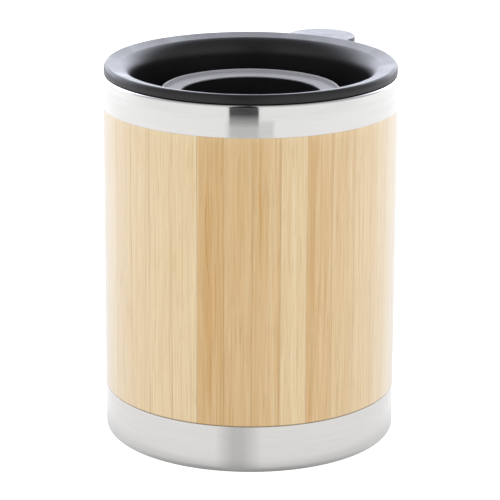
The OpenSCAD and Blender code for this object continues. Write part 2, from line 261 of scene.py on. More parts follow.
@dataclass(frozen=True)
class Shape:
    """A closed surface in millimetres.

    Attributes:
        points: One row per point.
        corners: The point of each face corner, face after face.
        sizes: The number of corners of each face.
        uv: Millimetres across and along the surface at each face corner.
    """

    points: Floats
    corners: Ints
    sizes: Ints
    uv: Floats

    def moved(self, x: float, y: float, z: float) -> "Shape":
        """The same surface, moved by three lengths."""
        return Shape(self.points + np.array([x, y, z]), self.corners, self.sizes, self.uv)

    def faces_out(self) -> bool:
        """Tells whether the faces point outwards.

        Each face is cut into triangles from its first corner. The sum of the triple products of
        their corners is six times the volume, and positive when the faces point outwards.

        Returns:
            True if they do.
        """
        starts = np.cumsum(self.sizes) - self.sizes
        triangles = self.sizes - 2
        first = np.repeat(starts, triangles)
        within = np.arange(len(first)) - np.repeat(np.cumsum(triangles) - triangles, triangles)
        a = self.points[self.corners[first]]
        b = self.points[self.corners[first + within + 1]]
        c = self.points[self.corners[first + within + 2]]
        return bool((a * np.cross(b, c)).sum() > 0)

    def mesh(self, name: str) -> bpy.types.Mesh:
        """Writes the surface into a mesh in metres, with its faces outwards.

        Args:
            name: Name of the mesh.

        Returns:
            The mesh. A step of 1 in its UV map is a tenth of a metre.
        """
        corners, uv = self.corners, self.uv
        starts = np.cumsum(self.sizes) - self.sizes
        if not self.faces_out():
            within = np.arange(len(corners)) - np.repeat(starts, self.sizes)
            flipped = np.repeat(starts + self.sizes - 1, self.sizes) - within
            corners, uv = corners[flipped], uv[flipped]
        made = bpy.data.meshes.new(name)
        made.vertices.add(len(self.points))
        made.vertices.foreach_set("co", (self.points * MM).astype(np.float32).ravel())
        made.loops.add(len(corners))
        made.loops.foreach_set("vertex_index", corners.astype(np.int32))
        made.polygons.add(len(self.sizes))
        made.polygons.foreach_set("loop_start", starts.astype(np.int32))
        made.uv_layers.new(name=SURFACE)
        made.update(calc_edges=True)
        made.uv_layers[SURFACE].uv.foreach_set("vector", (uv * UV_PER_MM).astype(np.float32).ravel())
        made.validate()
        return made


def skin(points: Floats, uv: Floats, ring: bool) -> Shape:
    """Joins a grid of points into a closed surface.

    Each row is an outline that is closed in itself. Neighbouring rows are joined by four-cornered
    faces, the last row with the first if the rows go round; otherwise both end rows are filled.
    A corner that repeats its neighbour's point, as at a pole, is left out.

    Args:
        points: Rows by outline points by three.
        uv: Places on the surface, one row and one column more than the faces.
        ring: Whether the rows go all the way round.

    Returns:
        The surface.
    """
    rows, count = points.shape[:2]
    index = np.arange(rows * count).reshape(rows, count)
    if ring:
        pole = np.hypot(points[0, :, 0], points[0, :, 1]) < TINY
        index[:, pole] = index[0, pole]
    here = np.arange(rows if ring else rows - 1)
    there = (here + 1) % rows
    beside = (np.arange(count) + 1) % count
    quads = np.stack(
        [index[here], index[there], index[there][:, beside], index[here][:, beside]], axis=-1
    ).reshape(-1, 4)
    places = np.stack([uv[:-1, :-1], uv[1:, :-1], uv[1:, 1:], uv[:-1, 1:]], axis=-2).reshape(-1, 4, 2)
    keep = quads != np.roll(quads, -1, axis=1)
    whole = keep.sum(1) >= 3
    corners, sizes = quads[whole][keep[whole]], keep[whole].sum(1)
    corner_uv = places[whole][keep[whole]]
    if not ring:
        flat = uv[0, :-1]
        corners = np.concatenate([corners, index[0], index[-1, ::-1]])
        sizes = np.concatenate([sizes, [count, count]])
        corner_uv = np.concatenate([corner_uv, flat, flat[::-1]])
    used, corners = np.unique(corners, return_inverse=True)
    return Shape(points.reshape(-1, 3)[used], corners.ravel(), sizes, corner_uv)


def surface_places(across: Floats, points: Floats) -> Floats:
    """UV places of a grid: the row's own distance across, and the length run along the outline.

    Args:
        across: One distance per row of the grid.
        points: The outline, closed.

    Returns:
        Rows by outline points plus one by two.
    """
    run = np.linalg.norm(np.roll(points, -1, axis=0) - points, axis=1)
    along = np.concatenate([[0], np.cumsum(run)])
    return np.stack(np.broadcast_arrays(across[:, None], along[None]), axis=-1)


def turned(points: Floats, columns: int = ROUND_COLUMNS) -> Shape:
    """Turns a closed outline once round the axis.

    A point of radius r and height z becomes (r cos a, r sin a, z) at each even angle a.

    Args:
        points: The outline; two of its points may lie on the axis.
        columns: Number of copies of the outline.

    Returns:
        The surface.
    """
    a = SEAM + np.arange(columns) * FULL_TURN / columns
    grid = np.stack(
        [
            np.cos(a)[:, None] * points[None, :, 0],
            np.sin(a)[:, None] * points[None, :, 0],
            np.broadcast_to(points[None, :, 1], (columns, len(points))),
        ],
        axis=-1,
    )
    widest = points[:, 0].max()
    return skin(grid, surface_places(np.arange(columns + 1) * FULL_TURN / columns * widest, points), True)


def sector(
    points: Floats,
    middle: float,
    half: float | Floats,
    edge: float = 0.0,
    columns: int = 24,
    edge_steps: int = 4,
) -> Shape:
    """A part of a turned ring with rounded ends.

    The outline is repeated at angles from the middle minus the half angle to the middle plus it.
    Near each end a column stands edge times (1 - cos f) from the end and is drawn in by edge
    times (1 - sin f), with f from 0 to 90 degrees, which rounds the end's rim.

    Args:
        points: The outline, counter-clockwise.
        middle: Middle of the part, in radians.
        half: Half of the angle that it takes up, one value or one per outline point.
        edge: Rounding of the ends.
        columns: Number of columns between the rounded ends.
        edge_steps: Number of columns in each rounding.

    Returns:
        The surface.
    """
    radius = points[:, 0].mean()
    f = np.linspace(0, math.pi / 2, edge_steps + 1)
    stand = edge * (1 - np.cos(f)) / radius
    inset = edge * (1 - np.sin(f))
    share = np.linspace(-1, 1, columns + 1)[1:-1]
    half_angle = np.broadcast_to(half, (len(points),))[None]
    lower = -half_angle + stand[:, None]
    inner = (half_angle - edge / radius) * share[:, None]
    angle = middle + np.concatenate([lower, inner, -lower[::-1]])
    drawn = np.concatenate([inset, np.zeros(len(share)), inset[::-1]])
    if edge == 0:
        angle = angle[edge_steps:len(angle) - edge_steps]
        drawn = drawn[edge_steps:len(drawn) - edge_steps]
    rows = drawn_in(points, drawn)
    grid = np.stack([rows[..., 0] * np.cos(angle), rows[..., 0] * np.sin(angle), rows[..., 1]], axis=-1)
    across = (angle.mean(1) - middle) * points[:, 0].max()
    return skin(grid, surface_places(across, points), False)


def prism(points: Floats, direction: Sequence[float], length: float, up: Sequence[float]) -> Shape:
    """Pushes a closed outline straight along a direction.

    A point (p, q) of the outline becomes p times the side plus q times up, where the side is
    square to both, and the rows stand at plus and minus half the length.

    Args:
        points: The outline.
        direction: Unit direction of the push.
        length: Length of the piece.
        up: Unit direction of the outline's second coordinate.

    Returns:
        The surface.
    """
    along, upright = np.asarray(direction, float), np.asarray(up, float)
    side = np.cross(along, upright)
    flat = points[:, :1] * side[None] + points[:, 1:] * upright[None]
    offset = np.array([-0.5, 0.5])[:, None, None] * length * along[None, None]
    return skin(flat[None] + offset, surface_places(np.array([-0.5, 0.5]) * length, points), False)


# Pieces


def object_from(shape: Shape, name: str) -> bpy.types.Object:
    """Puts a shape's mesh into the scene as an object at the origin.

    Args:
        shape: The shape.
        name: Name of the object and its mesh.

    Returns:
        The object.
    """
    made = bpy.data.objects.new(name, shape.mesh(name))
    bpy.context.scene.collection.objects.link(made)
    return made


def combine(piece: bpy.types.Object, tools: Sequence[Shape | bpy.types.Object], join: Join) -> None:
    """Cuts tools out of a piece or adds them to it, and keeps the result as its mesh.

    Args:
        piece: The piece to change.
        tools: Closed shapes, or objects that are used up, taken one after the other.
        join: Whether they are cut or added.
    """
    for given in tools:
        tool = object_from(given, piece.name + "_tool") if isinstance(given, Shape) else given
        step = piece.modifiers.new(join.name, "BOOLEAN")
        step.operation = join.value
        step.solver = "EXACT"
        step.object = tool
        seen = piece.evaluated_get(bpy.context.evaluated_depsgraph_get())
        result = bpy.data.meshes.new_from_object(seen)
        piece.modifiers.clear()
        piece.data = result
        bpy.data.objects.remove(tool)


def finish_piece(
    piece: bpy.types.Object,
    material: bpy.types.Material,
    body: Body,
    node: str,
) -> None:
    """Shades a piece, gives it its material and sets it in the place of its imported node.

    Args:
        piece: The piece, at the origin.
        material: Its finish.
        body: The body that it rides on.
        node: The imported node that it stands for.
    """
    mesh = piece.data
    mesh.polygons.foreach_set("use_smooth", np.ones(len(mesh.polygons), bool))
    mesh.set_sharp_from_angle(angle=SHARP)
    mesh.materials.clear()
    mesh.materials.append(material)
    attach(piece, body.value)
    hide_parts(node)
    counts = len(mesh.vertices), len(mesh.polygons)
    log.info("%s: %d points, %d faces, rides on %s", piece.name, *counts, body.value)


# Finishes


class Graph:
    """The node tree of one material or world, with short calls for what they share."""

    def __init__(self, name: str, world: bool = False) -> None:
        """Makes a material with a Principled shader, or a world with a background.

        Args:
            name: Name of the material or world.
            world: Whether it is a world.
        """
        self.owner = (bpy.data.worlds if world else bpy.data.materials).new(name)
        self.owner.use_nodes = True
        self.nodes = self.owner.node_tree.nodes
        self.shader = self.nodes["Background" if world else "Principled BSDF"]

    def feed(self, target: Socket, source: Input) -> None:
        """Links a socket to another, or sets its value.

        Args:
            target: The socket that is fed.
            source: The socket or the value that it takes.
        """
        if isinstance(source, bpy.types.NodeSocket):
            self.owner.node_tree.links.new(source, target)
        else:
            target.default_value = source

    def surface(self, name: str, source: Input) -> None:
        """Feeds one of the shader's sockets by its name."""
        self.feed(self.shader.inputs[name], source)

    def math(self, operation: str, first: Input, second: Input = 0.0) -> Socket:
        """Works out one operation on one or two numbers.

        Args:
            operation: The Math node's own name for it.
            first: The first number.
            second: The second number.

        Returns:
            The result.
        """
        node = self.nodes.new("ShaderNodeMath")
        node.operation = operation
        self.feed(node.inputs[0], first)
        self.feed(node.inputs[1], second)
        return node.outputs[0]

    def total(self, *terms: Input) -> Socket:
        """The sum of some numbers, added one after the other."""
        return reduce(lambda whole, term: self.math("ADD", whole, term), terms)

    def product(self, *factors: Input) -> Socket:
        """The product of some numbers, multiplied one after the other."""
        return reduce(lambda whole, factor: self.math("MULTIPLY", whole, factor), factors)

    def scaled(self, value: Input, factor: float, offset: float = 0.0) -> Socket:
        """Multiplies a number and adds to it.

        Args:
            value: The number.
            factor: What it is multiplied by.
            offset: What is added then.

        Returns:
            The result.
        """
        made = self.math("MULTIPLY_ADD", value, factor)
        made.node.inputs[2].default_value = offset
        return made

    def place(self) -> Socket:
        """The point on the object, in metres."""
        return self.nodes.new("ShaderNodeTexCoord").outputs["Object"]

    def surface_place(self) -> tuple[Socket, Socket]:
        """The place across and along the surface, from the piece's UV map.

        Returns:
            Two lengths, in tenths of a metre.
        """
        node = self.nodes.new("ShaderNodeUVMap")
        node.uv_map = SURFACE
        return self.parts(node.outputs[0])[:2]

    def parts(self, vector: Socket) -> tuple[Socket, Socket, Socket]:
        """Takes a vector apart.

        Args:
            vector: The vector.

        Returns:
            Its three numbers.
        """
        node = self.nodes.new("ShaderNodeSeparateXYZ")
        self.feed(node.inputs[0], vector)
        return node.outputs[0], node.outputs[1], node.outputs[2]

    def vector(self, x: Input, y: Input, z: Input) -> Socket:
        """Makes a vector.

        Args:
            x: Its first number.
            y: Its second number.
            z: Its third number.

        Returns:
            The vector.
        """
        node = self.nodes.new("ShaderNodeCombineXYZ")
        self.feed(node.inputs[0], x)
        self.feed(node.inputs[1], y)
        self.feed(node.inputs[2], z)
        return node.outputs[0]

    def attribute(self, mark: Mark) -> Socket:
        """Reads one of the mesh's own numbers.

        Args:
            mark: Which of them.

        Returns:
            The number.
        """
        node = self.nodes.new("ShaderNodeAttribute")
        node.attribute_name = mark.value
        return node.outputs["Fac"]

    def noise(
        self, vector: Socket, scale: float = 1.0, detail: float = 2.0, rough: float = 0.5, bend: float = 0.0
    ) -> Socket:
        """Reads smooth noise that runs from 0 to 1.

        Args:
            vector: Where it is read.
            scale: Blotches per unit of the vector.
            detail: Number of finer layers.
            rough: Weight of each finer layer.
            bend: How far the noise bends itself.

        Returns:
            The noise's value.
        """
        node = self.nodes.new("ShaderNodeTexNoise")
        self.feed(node.inputs["Vector"], vector)
        node.inputs["Scale"].default_value = scale
        node.inputs["Detail"].default_value = detail
        node.inputs["Roughness"].default_value = rough
        node.inputs["Distortion"].default_value = bend
        return node.outputs["Fac"]

    def span(
        self, value: Input, low: float, high: float, to_low: float = 0.0, to_high: float = 1.0
    ) -> Socket:
        """Carries a range of a value over to another range, and holds it at both ends.

        Args:
            value: The value.
            low: Where its range starts.
            high: Where its range ends.
            to_low: What the start becomes.
            to_high: What the end becomes.

        Returns:
            The result.
        """
        node = self.nodes.new("ShaderNodeMapRange")
        self.feed(node.inputs["Value"], value)
        for name, number in zip(("From Min", "From Max", "To Min", "To Max"), (low, high, to_low, to_high)):
            node.inputs[name].default_value = number
        return node.outputs["Result"]

    def swung(self, noise: Socket, reach: float) -> Socket:
        """Noise carried over to run from minus a reach to plus it."""
        return self.span(noise, NOISE_LOW, NOISE_HIGH, -reach, reach)

    def within(self, value: Socket, low: float, high: float, soft: float) -> Socket:
        """Tells whether a value lies between two others.

        Args:
            value: The value.
            low: The lower bound.
            high: The upper bound.
            soft: Half of the width over which the answer fades at each bound.

        Returns:
            1 between the bounds and 0 outside them.
        """
        return self.product(
            self.span(value, low - soft, low + soft), self.span(value, high + soft, high - soft)
        )

    def mixed(self, share: Input, first: Input, second: Input, way: str = "MIX") -> Socket:
        """Mixes two colours.

        Args:
            share: How much of the second is taken.
            first: The first colour.
            second: The second colour.
            way: The blend type's own name.

        Returns:
            The mixed colour.
        """
        node = self.nodes.new("ShaderNodeMix")
        node.data_type = "RGBA"
        node.blend_type = way
        colours = [socket for socket in node.inputs if socket.type == "RGBA"]
        self.feed(node.inputs[0], share)
        self.feed(colours[0], first)
        self.feed(colours[1], second)
        return [socket for socket in node.outputs if socket.type == "RGBA"][0]

    def relief(self, height: Socket, depth: float) -> None:
        """Bumps the surface.

        Args:
            height: Height from 0 to 1.
            depth: What 1 stands for, in millimetres.
        """
        node = self.nodes.new("ShaderNodeBump")
        self.feed(node.inputs["Height"], height)
        node.inputs["Distance"].default_value = depth * MM
        node.inputs["Strength"].default_value = 1.0
        self.surface("Normal", node.outputs[0])


@dataclass(frozen=True)
class Bamboo:
    """Sanded and varnished bamboo: upright fibres, strips of their own tone, dark glue lines.

    A tone of 0 is the dark colour and a tone of 1 the light one.

    Attributes:
        light: Colour of the palest strip.
        dark: Colour of the darkest strip.
        fibre: Colour of the fine dark fibres.
        scorch: Colour of brown streaks and strip edges.
        seam_shadow: Colour of the painted shadow in the joint where the bamboo meets the steel base.
        past: How far a tone may run past either colour.
        fibre_mm: Width of a fine fibre.
        bundle_mm: Width of a bundle of fibres.
        band_mm: Width of a band of bundles.
        dash_mm: Width of a dark dash.
        fibre_run: Length of a coarse fibre in millimetres.
        thin_run: Length of a thin fibre.
        bundle_run: Length of a bundle or a band.
        dash_run: Length of a dash.
        fibre_tone: How far the fine fibres move the tone.
        bundle_tone: How far the bundles move it.
        band_tone: How far the bands move it.
        swing_mm: How far the fibres swing aside in a knot.
        sway_mm: How far they swing elsewhere.
        drift_mm: How far they drift over a long stretch.
        seed_mm: How far one step of the seed moves a strip's grain aside.
        dashed: Strength of the dark dashes.
        knot_dashed: What a knot adds to that.
        edge_clean: Strength of a strip's brown edge where it is cleanest.
        edge_burnt: The same where it is darkest.
        rough: Roughness of the wood between the fibres.
        fibre_rough: Roughness of the fibres.
        varnish: Strength of the clear coat.
        varnish_rough: Its roughness.
        bloom: Strength of the soft bloom of the sanded wood seen aslant.
        bloom_rough: Its roughness.
        depth_mm: Depth of the grain.
    """

    light: Colour = (0.84, 0.635, 0.355, 1)
    dark: Colour = (0.705, 0.437, 0.165, 1)
    fibre: Colour = (0.47, 0.255, 0.085, 1)
    scorch: Colour = (0.44, 0.235, 0.075, 1)
    seam_shadow: Colour = (0.15, 0.09, 0.04, 1)
    past: float = 0.6
    fibre_mm: float = 0.22
    bundle_mm: float = 1.5
    band_mm: float = 4.6
    dash_mm: float = 0.2
    fibre_run: float = 40.0
    thin_run: float = 22.0
    bundle_run: float = 70.0
    dash_run: float = 10.0
    fibre_tone: float = 0.54
    bundle_tone: float = 0.03
    band_tone: float = 0.05
    swing_mm: float = 1.1
    sway_mm: float = 0.015
    drift_mm: float = 0.25
    seed_mm: float = 57.3
    dashed: float = 0.28
    knot_dashed: float = 0.2
    edge_clean: float = 0.04
    edge_burnt: float = 0.5
    rough: float = 0.44
    fibre_rough: float = 0.34
    varnish: float = 0.7
    varnish_rough: float = 0.18
    bloom: float = 1.0
    bloom_rough: float = 0.44
    depth_mm: float = 0.01

    def material(self) -> bpy.types.Material:
        """Builds the material. The strips' tone, streaks and edges are the meshes' own numbers.

        Returns:
            The material.
        """
        g = Graph("bamboo")
        seed, streak, knot, end = map(g.attribute, (Mark.SEED, Mark.STREAK, Mark.KNOT, Mark.END))
        x, y = self.fibre_place(g, seed, knot)

        def layer(width: float, length: float, shift: float, detail: float = 1.0) -> Socket:
            """Reads noise that is drawn out along the fibres.

            Args:
                width: Width of its marks in millimetres.
                length: Their length.
                shift: Keeps the marks of one layer apart from another's.
                detail: Number of finer layers.

            Returns:
                The noise's value.
            """
            place = g.vector(g.scaled(x, 1 / width), g.scaled(y, 1 / length), g.scaled(seed, 1, shift))
            return g.noise(place, 1.0, detail, 0.62)

        coarse = layer(1.5 * self.fibre_mm, self.fibre_run, 0.0)
        thin = layer(0.75 * self.fibre_mm, self.thin_run, 5.5)
        fine = g.scaled(g.total(coarse, thin), 0.5)
        bundles = layer(self.bundle_mm, self.bundle_run, 3.7, 2)
        bands = layer(self.band_mm, self.bundle_run, 8.1)
        dashes = g.span(layer(self.dash_mm, self.dash_run, 12.9), 0.58, 0.68)
        tone = g.total(
            g.swung(bundles, self.bundle_tone),
            g.swung(bands, self.band_tone),
            g.swung(fine, self.fibre_tone),
            g.attribute(Mark.TONE),
            streak,
        )
        low, high = -self.past, 1 + self.past
        base = g.mixed(g.span(tone, low, high), self.toned(low), self.toned(high))
        base = g.mixed(g.span(g.scaled(streak, -1), 0.25, 1.1, 0, 0.75), base, self.scorch)
        base = g.mixed(g.product(dashes, g.scaled(knot, self.knot_dashed, self.dashed)), base, self.fibre)
        broken = g.noise(g.vector(g.scaled(x, 0.2), g.scaled(y, 0.03), g.scaled(seed, 3)))
        burnt = g.span(broken, 0.35, 0.65, self.edge_clean, self.edge_burnt)
        base = g.mixed(g.product(g.attribute(Mark.EDGE), burnt), base, self.scorch)
        # Painted shadow in the joint over the steel base: the lowest rows take its colour and lose their
        # coat.
        g.surface("Base Color", g.mixed(end, base, self.seam_shadow))
        g.surface("Roughness", g.span(fine, 0.3, 0.75, self.rough, self.fibre_rough))
        g.surface("Coat Weight", g.span(end, 0, 0.85, self.varnish, 0))
        g.surface("Coat Roughness", self.varnish_rough)
        g.surface("Sheen Weight", self.bloom)
        g.surface("Sheen Roughness", self.bloom_rough)
        height = g.total(fine, g.scaled(bundles, 0.8))
        g.relief(g.math("SUBTRACT", height, g.scaled(dashes, 0.3)), self.depth_mm)
        return g.owner

    def fibre_place(self, g: Graph, seed: Socket, knot: Socket) -> tuple[Socket, Socket]:
        """Finds where a point lies among the fibres.

        The place across is moved aside by noise, far at a knot and hardly elsewhere, and by a
        slower noise that makes the fibres drift.

        Args:
            g: The material's nodes.
            seed: The strip's own number.
            knot: How near the knot is.

        Returns:
            Millimetres across the fibres and along them.
        """
        across, along = g.surface_place()
        x, y = g.scaled(across, 1 / UV_PER_MM), g.scaled(along, 1 / UV_PER_MM)
        x = g.total(x, g.scaled(seed, self.seed_mm))
        wave = g.noise(g.vector(g.scaled(x, 0.45), g.scaled(y, 0.16), seed))
        swing = g.product(g.scaled(wave, 1, -0.5), g.scaled(knot, self.swing_mm, self.sway_mm))
        drift = g.noise(g.vector(g.scaled(x, 0.1), g.scaled(y, 0.012), seed), detail=1)
        return g.total(x, swing, g.scaled(drift, self.drift_mm)), y

    def toned(self, tone: float) -> Colour:
        """The colour of a tone, on the line through the dark and the light colour."""
        r, g, b = (d + (h - d) * tone for d, h in zip(self.dark[:3], self.light[:3]))
        return (r, g, b, 1)


@dataclass(frozen=True)
class BrushedSteel:
    """Stainless steel with fine brush lines round the axis.

    Attributes:
        name: Name of the material.
        colour: Colour of the metal.
        roughness: Roughness across the brush lines.
        stretch: How much the brush lines draw the highlights out.
        line_mm: Spacing of the brush lines.
        depth_mm: Depth of the brush lines.
        line_run: Length of a brush line in millimetres.
        set_lines: How many lines make a set of them.
        set_run: Length of a set in millimetres.
    """

    name: str
    colour: Colour = (0.66, 0.655, 0.645, 1)
    roughness: float = 0.1
    stretch: float = 0.9
    line_mm: float = 0.16
    depth_mm: float = 0.0006
    line_run: float = 14
    set_lines: float = 6
    set_run: float = 40

    def material(self) -> bpy.types.Material:
        """Builds the material: noise pressed flat along the surface makes the lines.

        Returns:
            The material.
        """
        g = Graph(self.name)
        here = g.place()
        x, y, _ = g.parts(here)
        _, along = g.surface_place()

        def lines(spacing: float, length: float, detail: float) -> Socket:
            """Reads noise that is drawn out round the axis.

            Args:
                spacing: Spacing of its lines in millimetres.
                length: Their length.
                detail: Number of finer layers.

            Returns:
                The noise's value.
            """
            per_length, per_spacing = 1 / (length * MM), 1 / (UV_PER_MM * spacing)
            place = g.vector(g.scaled(x, per_length), g.scaled(y, per_length), g.scaled(along, per_spacing))
            return g.noise(place, 1.0, detail, 0.7)

        brushed = lines(self.line_mm, self.line_run, 3)
        sets = lines(self.line_mm * self.set_lines, self.set_run, 2)
        handled = g.noise(here, 90, 3)
        both = g.total(g.scaled(brushed, 0.6), g.scaled(sets, 0.4))
        shade = g.span(both, NOISE_LOW, NOISE_HIGH, 0.95, 1.04)
        g.surface("Base Color", g.mixed(1.0, self.colour, shade, "MULTIPLY"))
        g.surface("Metallic", 1.0)
        worn = g.span(handled, 0.35, 0.7, 0, 0.03)
        g.surface("Roughness", g.total(g.swung(sets, 0.03), worn, self.roughness))
        g.surface("Anisotropic", self.stretch)
        g.surface("Anisotropic Rotation", 0.25)
        tangent = g.nodes.new("ShaderNodeTangent")
        tangent.direction_type = "UV_MAP"
        tangent.uv_map = SURFACE
        g.surface("Tangent", tangent.outputs[0])
        g.relief(both, self.depth_mm)
        return g.owner


@dataclass(frozen=True)
class Moulded:
    """Moulded plastic or silicone: a fine grain, faint flow marks and rubbed patches.

    Attributes:
        name: Name of the material.
        colour: Colour of the material.
        roughness: Its roughness.
        grain_mm: Size of the mould's grain.
        depth_mm: Depth of the grain.
        rubbed: How much smoother the rubbed patches are.
        fade: How much the colour varies.
        glow_mm: How far light runs under the surface.
        gloss: Strength of its reflections seen straight on.
    """

    name: str
    colour: Colour
    roughness: float
    grain_mm: float = 0.22
    depth_mm: float = 0.006
    rubbed: float = 0.08
    fade: float = 0.12
    glow_mm: float = 0.0
    gloss: float = 0.5

    def material(self) -> bpy.types.Material:
        """Builds the material from noise of several sizes on the object's own place.

        Returns:
            The material.
        """
        g = Graph(self.name)
        here = g.place()
        grain = g.noise(here, 1 / (self.grain_mm * MM))
        patches = g.noise(here, 110, 3, 0.6, 0.4)
        flow = g.noise(here, 28)
        x, y, z = g.parts(here)
        swirl = g.vector(g.scaled(x, 120), g.scaled(y, 1500), g.scaled(z, 400))
        scuffs = g.span(g.noise(swirl, detail=1), 0.66, 0.74)
        tint = g.total(g.swung(flow, 1), g.swung(grain, 0.5))
        shade = g.span(tint, -1.5, 1.5, 1 - self.fade, 1 + self.fade)
        g.surface("Base Color", g.mixed(1.0, self.colour, shade, "MULTIPLY"))
        rough = g.span(patches, 0.45, 0.75, self.roughness, self.roughness - self.rubbed)
        g.surface("Roughness", g.total(rough, g.scaled(scuffs, 0.06)))
        g.surface("Specular IOR Level", self.gloss)
        if self.glow_mm > 0:
            g.surface("Subsurface Weight", 0.3)
            g.surface("Subsurface Scale", self.glow_mm * MM)
        g.relief(g.math("SUBTRACT", grain, g.scaled(scuffs, 0.5)), self.depth_mm)
        return g.owner


# The mug


@dataclass(frozen=True)
class Streak:
    """A darker or lighter mark that runs up the sleeve.

    Attributes:
        azimuth: Degrees from the front towards +X, at the mark's lower end.
        half_width: Half of its width in degrees.
        low: Height of its lower end.
        high: Height of its upper end.
        strength: Below 0 for a dark mark, above 0 for a light one.
        lean: Degrees that it moves aside per millimetre of height.
        end_mm: Height over which its ends fade.
        sway: How many degrees it sways to either side.
        sway_rate: Radians of the sway's sine per millimetre of height.
    """

    azimuth: float
    half_width: float
    low: float
    high: float
    strength: float
    lean: float = 0.0
    end_mm: float = 1.5
    sway: float = 0.12
    sway_rate: float = 0.31

    def shade(self, azimuth: Floats, height: Floats) -> Floats:
        """Works out how far the mark moves the tone of each point.

        A bell across the mark, exp(-(distance / half width) squared), times a soft step at each
        of its ends, 1 / (1 + exp(distance past the end / end height)), times its strength. The mark
        leans, and sways by a sine of the height.

        Args:
            azimuth: The points' degrees from the front.
            height: Their heights.

        Returns:
            One number per point.
        """
        sway = self.sway * np.sin(height * self.sway_rate + self.azimuth)
        centre = self.azimuth + self.lean * (height - self.low) + sway
        bell = np.exp(-(((azimuth - centre) / self.half_width) ** 2))
        below, above = (self.low - height) / self.end_mm, (height - self.high) / self.end_mm
        return self.strength * bell * (1 / (1 + np.exp(below)) / (1 + np.exp(above)))


